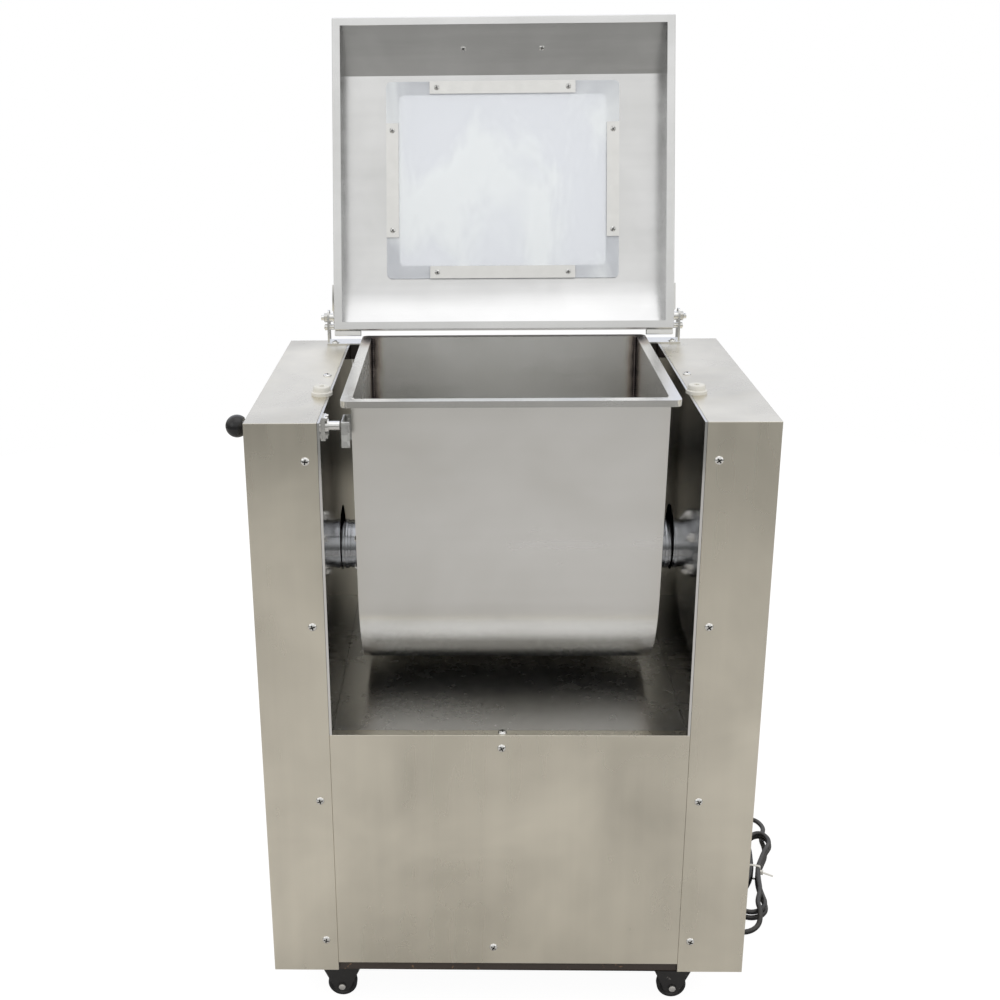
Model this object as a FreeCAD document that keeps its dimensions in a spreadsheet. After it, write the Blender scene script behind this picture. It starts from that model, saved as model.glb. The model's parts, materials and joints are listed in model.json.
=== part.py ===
import FreeCAD, Part
import math
import os
import re
import Sketcher

os.makedirs("parts", exist_ok=True)
doc = FreeCAD.newDocument("MeatMixer")
V = FreeCAD.Vector

# Driving sizes in millimetres and degrees: name, value, meaning; a value that starts with = follows others
SIZES = [
    ("middle_y", -78, "depth middle of the columns, so that the whole stands centred on the origin"),
    ("machine_width", 660, "over both columns"),
    ("column_depth", 476, "front face to back face"),
    ("column_width", 91, "one column cover"),
    ("top_height", 880, "column tops above the floor"),
    ("skirt_height", 75, "underside of the column covers above the floor"),
    ("cover_sheet", 1.5, "sheet of the column covers"),
    ("panel_sheet", 1.2, "sheet of the panels"),
    ("panel_fold", 3.2, "folded edge round an inner panel"),
    ("seam_gap", 0.3, "gap between neighbouring sheets"),
    ("deck_height", 450, "deck above the floor"),
    ("front_panel_height", 88, "lower edge of the front panel above the floor"),
    ("rear_panel_drop", 24, "upper edge of the rear panel below the column tops"),
    ("deck_fold", 14, "fold of the front panel over the deck"),
    ("base_tube", 40, "square tube of the base frame"),
    ("tower_tube", 30, "square tube of the towers"),
    ("tube_wall", 3, "wall of the square tubes"),
    ("tower_gap", 2, "tower tubes to the covers"),
    ("caster_plate_thickness", 6, "welded plate over a caster"),
    ("caster_plate_size", 100, "welded plate over a caster"),
    ("caster_setback", 45, "caster axis behind the front face"),
    ("caster_across", "=machine_width / 2 - column_width", "caster axis from the middle plane"),
    ("wheel_radius", 21, "caster wheel"),
    ("wheel_width", 17, "caster wheel"),
    ("axle_radius", 3, "caster axle"),
    ("caster_height", 68, "floor to the welded plate"),
    ("shaft_drop", 248, "tilting axis below the column tops"),
    ("bowl_radius", 162, "outside of the round tank bottom"),
    ("wall_flare", 4.5, "lean of the tank front and back"),
    ("tank_side_gap", 37.5, "between the tank and the columns' inner corners"),
    ("tank_half_width", "=machine_width / 2 - column_width - tank_side_gap", "outside of the tank end walls"),
    ("tank_sheet", 2, "tank sheet"),
    ("rim_rise", 16, "tank rim above the column tops"),
    ("rim_width", 12.5, "tank rim"),
    ("rim_depth", 8.5, "tank rim"),
    ("rim_corner", 9, "tank rim corner radius"),
    ("hub_radius", 34, "trunnion hub"),
    ("hub_flange_radius", 49.5, "trunnion flange"),
    ("hub_flange_thickness", 5, "trunnion flange"),
    ("hub_reach", 43, "hub into the column"),
    ("hub_end", "=machine_width / 2 - column_width + hub_reach", "outer end of a hub from the middle plane"),
    ("hub_bore_radius", 23, "bore of a hub"),
    ("stud_circle_radius", 42, "studs round a trunnion flange"),
    ("stud_radius", 4, "studs of a trunnion flange"),
    ("hub_hole_radius", 47, "hole of an inner panel"),
    ("hub_hole_rise", 10, "hole of an inner panel above the axis"),
    ("running_fit", 0.06, "radial clearance of turning pieces"),
    ("shaft_radius", 17.5, "mixing shaft"),
    ("shaft_left_reach", 11, "shaft into the left column"),
    ("shaft_left_end", "=machine_width / 2 - column_width + shaft_left_reach", "left end of the shaft from the middle plane"),
    ("shaft_side_gap", 12, "between the shaft's end and the right column's side"),
    ("shaft_right_end", "=machine_width / 2 - shaft_side_gap", "right end of the shaft from the middle plane"),
    ("bush_length", 46, "bush of a hub"),
    ("bush_flange_radius", 30, "bush flange in the tank"),
    ("bush_flange_thickness", 4, "bush flange in the tank"),
    ("paddle_count", 5, "cross arms on the shaft"),
    ("paddle_end_gap", 57.5, "outer cross arm from the tank end wall's outside"),
    ("paddle_spacing", "=2 * (tank_half_width - paddle_end_gap) / (paddle_count - 1)", "between cross arms"),
    ("paddle_step", 36, "turn from one cross arm to the next"),
    ("paddle_reach", 150, "paddle tip from the axis"),
    ("arm_radius", 8, "cross arm"),
    ("blade_length", 62, "paddle blade along the arm"),
    ("blade_width", 58, "paddle blade"),
    ("blade_thickness", 6, "paddle blade"),
    ("blade_pitch", 38, "turn of a blade out of the shaft's plane"),
    ("housing_plate", 10, "bearing housing plate"),
    ("housing_width", 130, "bearing housing plate"),
    ("housing_height", 190, "bearing housing plate"),
    ("housing_radius", 50, "bearing housing barrel"),
    ("housing_barrel", 25, "bearing housing barrel length"),
    ("beam_offset", 70, "bearing beams above and below the axis"),
    ("chain_pitch", 19.05, "roller chain"),
    ("roller_radius", 5.9, "chain roller"),
    ("roller_width", 11.6, "chain roller"),
    ("link_thickness", 1.7, "chain side plate"),
    ("link_height", 15, "chain side plate"),
    ("chain_side_gap", 32, "between the chain's middle and the right column's side"),
    ("chain_plane", "=machine_width / 2 - chain_side_gap", "middle of the chain from the middle plane"),
    ("sprocket_thickness", 10.4, "sprocket teeth"),
    ("driven_teeth", 25, "sprocket on the mixing shaft"),
    ("motor_teeth", 12, "sprocket on the gearbox shaft"),
    ("span_links", 20, "links of each straight run of the chain"),
    ("motor_radius", 68, "motor barrel"),
    ("motor_length", 230, "motor barrel"),
    ("gearbox_width", 116, "gearbox along the shaft"),
    ("gearbox_size", 150, "gearbox height and depth"),
    ("gearbox_side_gap", 134, "between the gearbox face and the right column's side"),
    ("gearbox_end", "=machine_width / 2 - gearbox_side_gap", "gearbox face from the middle plane"),
    ("gearbox_shaft_radius", 14, "gearbox output shaft"),
    ("mount_plate", 8, "motor table"),
    ("lid_lap", 19, "lid over a column's inner corner"),
    ("lid_half_width", "=machine_width / 2 - column_width + lid_lap", "lid"),
    ("lid_length", 468, "lid front to back"),
    ("lid_sheet", 1.5, "lid sheet"),
    ("lid_wall", 25, "height of the lid's front and back walls"),
    ("lid_rise", 58, "height of the lid's flat top over its rim"),
    ("lid_slope", 73, "run of each lid slope"),
    ("lid_lip", 12, "return edge round the lid"),
    ("lid_open_angle", 106, "lid angle as it stands open"),
    ("pivot_height", 38, "lid pivot above the column tops"),
    ("pivot_setback", 226, "lid pivot behind the middle of the columns"),
    ("pivot_rise", 26, "lid pivot over the lid's rim"),
    ("pivot_inset", 21, "lid pivot from the lid's back wall"),
    ("pivot_radius", 4, "pivot bolt"),
    ("pane_width", 360, "lid window"),
    ("pane_length", 302, "lid window"),
    ("pane_thickness", 3, "lid window"),
    ("pane_corner", 8, "lid window corner radius"),
    ("pane_lap", 20, "lap of the window on the lid"),
    ("strip_width", 19, "window strip"),
    ("strip_thickness", 2, "window strip"),
    ("long_strip", 225, "front and back window strips"),
    ("short_strip", 175, "side window strips"),
    ("strip_screw_inset", 11, "screw from the end of a strip"),
    ("handle_spacing", 120, "handle screws"),
    ("handle_height", 38, "lid handle"),
    ("handle_radius", 5, "lid handle bar"),
    ("ear_thickness", 3, "hinge ear on the lid"),
    ("spacer_length", 6, "between hinge ear and bracket"),
    ("bracket_plate", 3, "hinge bracket sheet"),
    ("bracket_length", 52, "foot of a hinge bracket along the column"),
    ("bracket_foot_sheet", 2, "foot of a hinge bracket"),
    ("bracket_foot", 34, "foot of a hinge bracket front to back"),
    ("bracket_screw_inset", 26, "bracket screw from the back face"),
    ("hinge_bar_length", 40, "bar on the lid beside a hinge"),
    ("hinge_bar_thickness", 8, "bar on the lid beside a hinge"),
    ("hinge_bar_height", 12, "bar on the lid beside a hinge"),
    ("hinge_bar_rise", 10, "bar over the lid's rim"),
    ("stop_radius", 4.5, "stop pin of the lid"),
    ("stop_back", 2, "stop pin behind the pivot"),
    ("stop_drop", 15, "stop pin below the pivot"),
    ("pad_inset", 7.6, "lid pad from the column's inner corner"),
    ("pad_across", "=machine_width / 2 - column_width + pad_inset", "lid pad from the middle plane"),
    ("pad_forward", 98, "lid pad in front of the middle of the columns"),
    ("pad_radius", 11.5, "lid pad"),
    ("pad_height", 11.7, "lid pad"),
    ("pad_stage", 5, "wide foot of a lid pad"),
    ("pin_setback", 46, "lock pin behind the front face"),
    ("pin_drop", 16, "lock pin below the column tops"),
    ("pin_radius", 6, "lock pin"),
    ("pin_tip_gap", 13.5, "tip of the lock pin from the tank end wall"),
    ("pin_tip", "=tank_half_width + pin_tip_gap", "tip of the lock pin from the middle plane"),
    ("knob_radius", 14.5, "ball knob"),
    ("knob_flat", 9, "flat of the ball knob from its centre"),
    ("knob_gap", 6, "knob to the column side with the pin drawn back"),
    ("guide_radius", 9.5, "lock pin guide"),
    ("guide_flange", 3, "lock pin guide flange"),
    ("catch_depth", 11, "lock bracket out of the tank wall"),
    ("catch_sheet", 2.5, "lock bracket"),
    ("screw_radius", 3, "screw shank"),
    ("screw_head_radius", 6, "pan head"),
    ("screw_head_height", 3.4, "pan head"),
    ("screw_inset", 16, "column screws from the column's inner corner"),
    ("screw_across", "=machine_width / 2 - column_width + screw_inset", "column screws from the middle plane"),
    ("switch_depth", 26, "switch box"),
    ("switch_width", 84, "switch box"),
    ("switch_height", 150, "switch box"),
    ("switch_drop", 70, "switch box below the column tops"),
    ("button_radius", 11, "push button"),
    ("button_stand", 7, "push button out of the box"),
    ("button_travel", 4, "push button"),
    ("mushroom_radius", 18, "stop button head"),
    ("cord_radius", 4, "mains lead"),
    ("gland_height", 300, "cord gland above the floor"),
    ("gland_setback", 150, "cord gland behind the middle of the columns"),
    ("hank_length", 244, "hank of the lead"),
    ("hank_width", 62, "hank of the lead across its loops"),
    ("hank_waist", 20, "hank of the lead where it is tied"),
    ("hank_height", 24.6, "hank of the lead"),
    ("hank_turn", 15.6, "hank out of the depth direction"),
]
sheet = doc.addObject("Spreadsheet::Sheet", "Sizes")
for row, (name, value, meaning) in enumerate(SIZES, start=1):
    sheet.set(f"A{row}", meaning)
    sheet.set(f"B{row}", str(value))
    sheet.setAlias(f"B{row}", name)
doc.recompute()

NAMES = {name for name, _, _ in SIZES}
WORD = re.compile(r"[a-z]+(?:_[a-z]+)+")
FRONT = "(-column_depth / 2)"
BACK = "(column_depth / 2)"
SIDE = "(machine_width / 2)"
INNER = "(machine_width / 2 - column_width)"
AXIS = "(top_height - shaft_drop)"
BEHIND = {}
NODES = {}


def linked(formula):
    """The formula with every size replaced by its cell."""
    return WORD.sub(lambda m: "Sizes." + m.group() if m.group() in NAMES else m.group(), str(formula))


def number(formula):
    """The value of a formula in the sheet's sizes."""
    return float(sheet.evalExpression(linked(formula)))


def bind(thing, **formulas):
    """Ties properties of an object to formulas in the sheet's sizes."""
    for prop, formula in formulas.items():
        thing.setExpression(prop, linked(formula))
    return thing


def at(thing, x=0, y=0, z=0, turn=None):
    """Ties the place of an object to formulas."""
    if turn is not None:
        thing.Placement = FreeCAD.Placement(V(), FreeCAD.Rotation(*turn))
    for letter, formula in zip("xyz", (x, y, z)):
        thing.setExpression("Placement.Base." + letter, linked(formula))
    BEHIND[thing.Name] = str(y)
    return thing


def node(label, thing):
    """Names a finished sub-part and moves it to the columns' depth."""
    thing.Label = label
    y = BEHIND.get(thing.Name, "0")
    thing.setExpression("Placement.Base.y", linked(f"middle_y + ({y})"))
    NODES[label] = thing
    return thing


def block(name, x, y, z):
    """A box between two limits on each axis."""
    solid = doc.addObject("Part::Box", name)
    bind(solid, Length=f"{x[1]} - ({x[0]})", Width=f"{y[1]} - ({y[0]})", Height=f"{z[1]} - ({z[0]})")
    return at(solid, x[0], y[0], z[0])


TURNS = {"x": (V(0, 1, 0), 90), "y": (V(1, 0, 0), -90), "z": (V(0, 0, 1), 0)}


def rod(name, axis, start, length, radius, x=0, y=0, z=0):
    """A round bar along an axis, from its start."""
    solid = bind(doc.addObject("Part::Cylinder", name), Radius=radius, Height=length)
    place = {"x": x, "y": y, "z": z}
    place[axis] = start
    return at(solid, place["x"], place["y"], place["z"], TURNS[axis])


def fuse(name, *parts):
    solid = doc.addObject("Part::MultiFuse", name)
    solid.Shapes = list(parts)
    return solid


def cut(name, base, *tools):
    solid = doc.addObject("Part::Cut", name)
    solid.Base = base
    solid.Tool = tools[0] if len(tools) == 1 else fuse(name + "Tools", *tools)
    return solid


def group(name, parts):
    solid = doc.addObject("Part::Compound", name)
    solid.Links = list(parts)
    return solid


def mirror(name, source):
    """The same piece on the other side of the machine."""
    solid = doc.addObject("Part::Mirroring", name)
    solid.Source = source
    solid.Normal = V(1, 0, 0)
    return solid


def rounded(name, solid, radius, edges):
    """A block with the given edges rounded."""
    result = doc.addObject("Part::Fillet", name)
    result.Base = solid
    result.Edges = [(edge, number(radius), number(radius)) for edge in edges]
    return result


UPRIGHT_EDGES = (1, 3, 5, 7)


def outline(body, plane, loops, circles=()):
    """A sketch on one of the body's own planes, each corner tied to formulas."""
    origin = [f for f in body.Origin.OriginFeatures if f.Role == plane][0]
    sketch = body.newObject("Sketcher::SketchObject", body.Name + "Outline")
    sketch.AttachmentSupport = [(origin, "")]
    sketch.MapMode = "FlatFace"
    count = 0
    for loop in loops:
        spots = [V(number(u), number(w), 0) for u, w in loop]
        size = len(loop)
        for i in range(size):
            sketch.addGeometry(Part.LineSegment(spots[i], spots[(i + 1) % size]), False)
        for i, (u, w) in enumerate(loop):
            following = count + (i + 1) % size
            sketch.addConstraint(Sketcher.Constraint("Coincident", count + i, 2, following, 1))
            pin_point(sketch, count + i, 1, u, w, spots[i])
        count += size
    for u, w, radius in circles:
        centre = V(number(u), number(w), 0)
        sketch.addGeometry(Part.Circle(centre, V(0, 0, 1), number(radius)), False)
        pin_point(sketch, count, 3, u, w, centre)
        index = sketch.addConstraint(Sketcher.Constraint("Radius", count, number(radius)))
        sketch.setExpression(f"Constraints[{index}]", linked(radius))
        count += 1
    return sketch


def pin_point(sketch, line, end, u, w, spot):
    """Ties one sketch point to formulas for its two coordinates."""
    for kind, formula, value in (("DistanceX", u, spot.x), ("DistanceY", w, spot.y)):
        index = sketch.addConstraint(Sketcher.Constraint(kind, -1, 1, line, end, value))
        sketch.setExpression(f"Constraints[{index}]", linked(formula))


PLANES = {"x": "YZ_Plane", "y": "XZ_Plane", "z": "XY_Plane"}


def plate(name, axis, limits, loops, circles=()):
    """A piece of one outline, padded between two limits along an axis."""
    body = doc.addObject("PartDesign::Body", name)
    pad = body.newObject("PartDesign::Pad", name + "Pad")
    pad.Profile = outline(body, PLANES[axis], loops, circles)
    body.Tip = pad
    pad.setExpression("Length", linked(f"{limits[1]} - ({limits[0]})"))
    start = limits[1] if axis == "y" else limits[0]
    return at(body, **{axis: start})


def turned(name, axis, profile, x=0, y=0, z=0, turn=None):
    """A piece turned round an axis; the profile is pairs of distance along it and radius."""
    body = doc.addObject("PartDesign::Body", name)
    along_first = axis == "x"
    corners = [(a, r) if along_first else (r, a) for a, r in profile]
    plane = {"x": "XY_Plane", "y": "XY_Plane", "z": "XZ_Plane"}[axis]
    sketch = outline(body, plane, [corners])
    spin = body.newObject("PartDesign::Revolution", name + "Turn")
    spin.Profile = sketch
    spin.ReferenceAxis = (sketch, ["H_Axis" if along_first else "V_Axis"])
    spin.Angle = 360
    body.Tip = spin
    return at(body, x, y, z, turn)


def tube(name, x, y, z, open_axis):
    """A square tube between limits, open at both ends along one axis."""
    outside = block(name + "Outside", x, y, z)
    limits = {"x": x, "y": y, "z": z}
    inside = {k: (f"{lo} + tube_wall", f"{hi} - tube_wall") for k, (lo, hi) in limits.items()}
    lo, hi = limits[open_axis]
    inside[open_axis] = (f"{lo} - 1", f"{hi} + 1")
    return cut(name, outside, block(name + "Inside", inside["x"], inside["y"], inside["z"]))


def screw(name, axis, x, y, z, inward, length):
    """A pan-head screw; its head sits on the named place and its shank runs inward."""
    place = {"x": x, "y": y, "z": z}
    seat = place[axis]
    head = bind(doc.addObject("Part::Cone", name + "Head"), Radius1="screw_head_radius",
                Radius2="screw_head_radius * 0.62", Height="screw_head_height")
    flip = {"x": (V(0, 1, 0), -90 * inward), "y": (V(1, 0, 0), 90 * inward),
            "z": (V(1, 0, 0), 90 + 90 * inward)}[axis]
    at(head, x, y, z, flip)
    start = seat if inward > 0 else f"{seat} - ({length})"
    shank = rod(name + "Shank", axis, start, length, "screw_radius", x=x, y=y, z=z)
    return fuse(name, head, shank)


def hexagon(name, axis, start, length, across_flats, y, z):
    """A hexagonal nut or head along X."""
    solid = bind(doc.addObject("Part::Prism", name), Circumradius=f"{across_flats} / 2 / cos(30)",
                 Height=length)
    solid.Polygon = 6
    return at(solid, start, y, z, TURNS[axis])


def base_frame():
    """The welded base: rails, cross members for the motor, and a plate over each caster."""
    low = "(caster_height + caster_plate_thickness)"
    high = f"({low} + base_tube)"
    out = f"({SIDE} - cover_sheet - tower_gap)"
    parts = []
    for side, name in ((-1, "Left"), (1, "Right")):
        x = sorted([f"{side} * {out}", f"{side} * ({out} - base_tube)"], key=number)
        y = (f"{FRONT} + cover_sheet + tower_gap", f"{BACK} - cover_sheet - tower_gap")
        parts.append(tube(f"{name}Rail", x, y, (low, high), "y"))
        for end in (-1, 1):
            centre_x = f"{side} * caster_across"
            centre_y = f"{end} * (column_depth / 2 - caster_setback)"
            half = "caster_plate_size / 2"
            parts.append(block(f"{name}CasterPlate{'Front' if end < 0 else 'Back'}",
                               (f"{centre_x} - {half}", f"{centre_x} + {half}"),
                               (f"{centre_y} - {half} * 0.7", f"{centre_y} + {half}") if end < 0 else
                               (f"{centre_y} - {half}", f"{centre_y} + {half} * 0.7"),
                               ("caster_height", low)))
    inner = f"({out} - base_tube)"
    y_edge = f"(column_depth / 2 - cover_sheet - tower_gap)"
    rows = ((f"-{y_edge}", f"-{y_edge} + base_tube"), ("-110", "-110 + base_tube"),
            ("110 - base_tube", "110"), (f"{y_edge} - base_tube", y_edge))
    for i, y in enumerate(rows):
        parts.append(tube(f"CrossRail{i + 1}", (f"-{inner}", inner), y, (low, high), "x"))
    node("base_frame", group("BaseFrame", parts))


def tower(side):
    """The tubes of the tower in one column: four posts, their ties and the beams of the bearing."""
    tag = "Left" if side < 0 else "Right"
    low = "(caster_height + caster_plate_thickness + base_tube)"
    high = "(top_height - cover_sheet - tower_gap)"
    out = f"({SIDE} - cover_sheet - tower_gap)"
    near = f"({INNER} + panel_fold - tower_gap + 1)"
    y_edge = "(column_depth / 2 - cover_sheet - tower_gap)"

    def span(a, b):
        return sorted([f"{side} * {a}", f"{side} * {b}"], key=number)

    columns_x = {"Outer": span(out, f"({out} - tower_tube)"), "Inner": span(near, f"({near} + tower_tube)")}
    columns_y = {"Front": (f"-{y_edge}", f"-{y_edge} + tower_tube"), "Back": (f"{y_edge} - tower_tube", y_edge)}
    parts = []
    for across, x in columns_x.items():
        for depth, y in columns_y.items():
            parts.append(tube(f"{tag}{across}{depth}Post", x, y, (low, high), "z"))
    tie_x = span(f"({near} + tower_tube)", f"({out} - tower_tube)")
    for depth, y in columns_y.items():
        for level, z in (("Top", (f"{high} - tower_tube", high)), ("Foot", (low, f"{low} + tower_tube"))):
            parts.append(tube(f"{tag}{depth}{level}Tie", tie_x, y, z, "x"))
    between = (f"-{y_edge} + tower_tube", f"{y_edge} - tower_tube")
    for level, sign in (("Upper", 1), ("Lower", -1)):
        middle = f"{AXIS} + {sign} * beam_offset"
        z = (f"{middle} - tower_tube / 2", f"{middle} + tower_tube / 2")
        parts.append(tube(f"{tag}{level}Beam", columns_x["Inner"], between, z, "y"))
    return parts


def column_cover(side, label):
    """One folded column cover, open below and towards the tank."""
    tag = "Left" if side < 0 else "Right"

    def span(a, b):
        return sorted([f"{side} * {a}", f"{side} * {b}"], key=number)

    skin = block(f"{tag}CoverSkin", span(SIDE, INNER), (FRONT, BACK), ("skirt_height", "top_height"))
    hollow = block(f"{tag}CoverHollow", span(f"({SIDE} - cover_sheet)", f"({INNER} - 5)"),
                   (f"{FRONT} + cover_sheet", f"{BACK} - cover_sheet"),
                   ("skirt_height - 5", "top_height - cover_sheet"))
    holes = []
    if side < 0:
        holes.append(rod("CoverPinHole", "x", f"-{SIDE} - 1", "10", "pin_radius + 1",
                         y=f"{FRONT} + pin_setback", z="top_height - pin_drop"))
    for place in column_screw_places():
        holes.append(rod(f"{tag}CoverHole{len(holes)}", "y", f"{FRONT} - 1", "cover_sheet + 2",
                         "screw_radius + running_fit", x=f"{side} * screw_across", z=place))
    holes.append(rod(f"{tag}CoverTopHole", "z", "top_height - cover_sheet - 1", "cover_sheet + 2",
                     "screw_radius + running_fit", x=f"{side} * (screw_across - 5)", y="6"))
    node(label, cut(f"{tag}Cover", skin, hollow, *holes))


def column_screw_places():
    """Heights of the four screws down a column front."""
    return [f"top_height - {drop}" for drop in (49, 273, 530, 754)]


def inner_panel(side, label):
    """The polished panel beside the tank, folded on its front, back and top edges."""
    tag = "Left" if side < 0 else "Right"
    face = f"({INNER} - seam_gap - panel_fold)"

    def span(a, b):
        return sorted([f"{side} * {a}", f"{side} * {b}"], key=number)

    y = (f"{FRONT} + seam_gap", f"{BACK} - seam_gap")
    skin = block(f"{tag}PanelSkin", span(face, f"({INNER} - seam_gap)"), y, ("deck_height", "top_height"))
    tray = block(f"{tag}PanelTray", span(f"({face} + panel_sheet)", f"({INNER} + 5)"),
                 (f"{y[0]} + panel_sheet", f"{y[1]} - panel_sheet"),
                 ("deck_height - 5", "top_height - panel_sheet"))
    hub_hole = rod(f"{tag}PanelHubHole", "x", f"{side} * {INNER} - 15", "30", "hub_hole_radius",
                   z=f"{AXIS} + hub_hole_rise")
    tools = [tray, hub_hole]
    if side < 0:
        tools.append(rod("PanelPinHole", "x", f"-{INNER} - 15", "30", "guide_radius + running_fit",
                         y=f"{FRONT} + pin_setback", z="top_height - pin_drop"))
    node(label, cut(f"{tag}Panel", skin, *tools))


def lower_panels():
    """Front panel with its fold beside the deck, the deck and the rear panel."""
    half = f"({INNER} - seam_gap)"
    across = (f"-{half}", half)
    sheet_y = (FRONT, f"{FRONT} + panel_sheet")
    narrow = f"({half} - panel_fold - seam_gap)"
    face = block("FrontSheet", across, sheet_y, ("front_panel_height", "deck_height"))
    level = ("deck_height - panel_sheet", "deck_height")
    fold = block("FrontFold", (f"-{narrow}", narrow), (FRONT, f"{FRONT} + deck_fold"), level)
    holes = [rod(f"FrontHole{i}", "y", f"{FRONT} - 1", "panel_sheet + 2", "screw_radius + running_fit",
                 x=x, z=z) for i, (x, z) in enumerate(front_screw_places())]
    holes.append(rod("FoldHole", "z", "deck_height - panel_sheet - 1", "panel_sheet + 2", "screw_radius + running_fit",
                     x="-9", y=f"{FRONT} + 8"))
    node("front_panel", cut("FrontPanel", fuse("FrontBent", face, fold), *holes))
    deck = block("DeckSheet", (f"-{narrow}", narrow),
                 (f"{FRONT} + deck_fold + seam_gap", f"{BACK} - panel_sheet"), level)
    flange = block("DeckFlange", (f"-{narrow}", narrow), (f"{BACK} - 2 * panel_sheet", f"{BACK} - panel_sheet"),
                   ("deck_height - 20", "deck_height"))
    node("deck_pan", group("DeckPan", [fuse("DeckBent", deck, flange)]))
    node("rear_panel", block("RearPanel", (f"-{narrow}", narrow), (f"{BACK} - panel_sheet", BACK),
                             ("front_panel_height", "top_height - rear_panel_drop")))
    bar = f"({INNER} - seam_gap - panel_fold)"
    low = "top_height - rear_panel_drop + seam_gap"
    member = tube("CrossMember", (f"-{bar}", bar), (f"{BACK} - 30", f"{BACK} - panel_sheet"),
                  (low, "top_height - seam_gap"), "x")
    node("rear_cross_member", member)


def front_screw_places():
    """The two screws of the front panel, as X and height."""
    return [("-10", "deck_height - 19"), ("-20", "deck_height - 335")]


def deck_supports():
    """Angle cleats behind the front and rear panels that carry the deck and take their screws."""
    half = f"({INNER} + panel_fold - tower_gap + 1)"
    parts = []
    for end, tag in ((-1, "Front"), (1, "Back")):
        y0 = f"({FRONT} + cover_sheet)" if end < 0 else f"({BACK} - 2 * panel_sheet - 24)"
        upright = (y0, f"{y0} + 3") if end < 0 else (f"{y0} + 21", f"{y0} + 24")
        leg = block(f"{tag}CleatLeg", (f"-{half}", half), upright,
                    ("deck_height - panel_sheet - 40", "deck_height - panel_sheet"))
        top = block(f"{tag}CleatTop", (f"-{half}", half), (y0, f"{y0} + 24"),
                    ("deck_height - panel_sheet - 3", "deck_height - panel_sheet"))
        parts.append(fuse(f"{tag}Cleat", leg, top))
    holes = [rod("CleatHoleFront", "y", f"{FRONT}", "8", "screw_radius + running_fit",
                 x="-10", z="deck_height - 19"),
             rod("CleatHoleTop", "z", "deck_height - 10", "12", "screw_radius + running_fit",
                 x="-9", y=f"{FRONT} + 8")]
    node("deck_cleats", group("DeckCleats", [cut("FrontCleatDrilled", parts[0], *holes), parts[1]]))


def tank_section(body, offset, top):
    """The tank's U-shaped section in the YZ plane: flared walls tangent to a round bottom."""
    origin = [f for f in body.Origin.OriginFeatures if f.Role == "YZ_Plane"][0]
    sketch = body.newObject("Sketcher::SketchObject", body.Name + "Section")
    sketch.AttachmentSupport = [(origin, "")]
    sketch.MapMode = "FlatFace"
    radius = number(f"bowl_radius - {offset}")
    lean = math.radians(number("wall_flare"))
    height = number(top)
    foot = V(radius * math.cos(lean), -radius * math.sin(lean), 0)
    head = V((radius + height * math.sin(lean)) / math.cos(lean), height, 0)
    left = [V(-p.x, p.y, 0) for p in (foot, head)]
    sketch.addGeometry(Part.LineSegment(foot, head), False)
    sketch.addGeometry(Part.LineSegment(head, left[1]), False)
    sketch.addGeometry(Part.LineSegment(left[1], left[0]), False)
    sketch.addGeometry(Part.ArcOfCircle(Part.Circle(V(), V(0, 0, 1), radius),
                                        math.pi + lean, 2 * math.pi - lean), False)
    for first, second in (((0, 2), (1, 1)), ((1, 2), (2, 1)), ((2, 2), (3, 1)), ((3, 2), (0, 1))):
        sketch.addConstraint(Sketcher.Constraint("Coincident", *first, *second))
    sketch.addConstraint(Sketcher.Constraint("Coincident", 3, 3, -1, 1))
    index = sketch.addConstraint(Sketcher.Constraint("Radius", 3, radius))
    sketch.setExpression(f"Constraints[{index}]", linked(f"bowl_radius - {offset}"))
    run = "(bowl_radius - {0}) * cos(wall_flare)".format(offset)
    wide = "((bowl_radius - {0}) + ({1}) * sin(wall_flare)) / cos(wall_flare)".format(offset, top)
    index = sketch.addConstraint(Sketcher.Constraint("DistanceX", -1, 1, 0, 1, foot.x))
    sketch.setExpression(f"Constraints[{index}]", linked(run))
    pin_point(sketch, 0, 2, wide, top, head)
    pin_point(sketch, 2, 1, f"-({wide})", top, left[1])
    index = sketch.addConstraint(Sketcher.Constraint("DistanceX", -1, 1, 2, 2, left[0].x))
    sketch.setExpression(f"Constraints[{index}]", linked(f"-({run})"))
    return sketch


def tank_prism(name, offset, top, half):
    """A solid of the tank section, the same length to both sides of the middle plane."""
    body = doc.addObject("PartDesign::Body", name)
    pad = body.newObject("PartDesign::Pad", name + "Pad")
    pad.Profile = tank_section(body, offset, top)
    pad.SideType = "Symmetric"
    body.Tip = pad
    pad.setExpression("Length", linked(f"2 * ({half})"))
    return at(body, z=AXIS)


def tank_shell():
    """The tilting tank: round bottom, flared front and back, and a folded rim."""
    height = "(shaft_drop + rim_rise)"
    outer = tank_prism("TankOutside", "0", height, "tank_half_width")
    inner = tank_prism("TankInside", "tank_sheet", f"{height} + 5", "tank_half_width - tank_sheet")
    mouth_y = f"((bowl_radius + {height} * sin(wall_flare)) / cos(wall_flare))"
    top = "(top_height + rim_rise)"
    out_x, out_y = "(tank_half_width + rim_width)", f"({mouth_y} + rim_width)"
    rim = rounded("RimBlock", block("RimBox", (f"-{out_x}", out_x), (f"-{out_y}", out_y),
                                    (f"{top} - rim_depth", top)), "rim_corner", UPRIGHT_EDGES)
    in_x, in_y = f"({out_x} - tank_sheet)", f"({out_y} - tank_sheet)"
    under = rounded("RimGroove", block("RimGrooveBox", (f"-{in_x}", in_x), (f"-{in_y}", in_y),
                                       (f"{top} - rim_depth - 1", f"{top} - tank_sheet")),
                    "rim_corner - tank_sheet", UPRIGHT_EDGES)
    folded = cut("RimFold", rim, under)
    bore = rod("TankBore", "x", "-tank_half_width - 5", "2 * tank_half_width + 10",
               "hub_bore_radius + running_fit", z=AXIS)
    node("tank_shell", cut("TankShell", fuse("TankRimmed", outer, folded), inner, bore))


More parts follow.
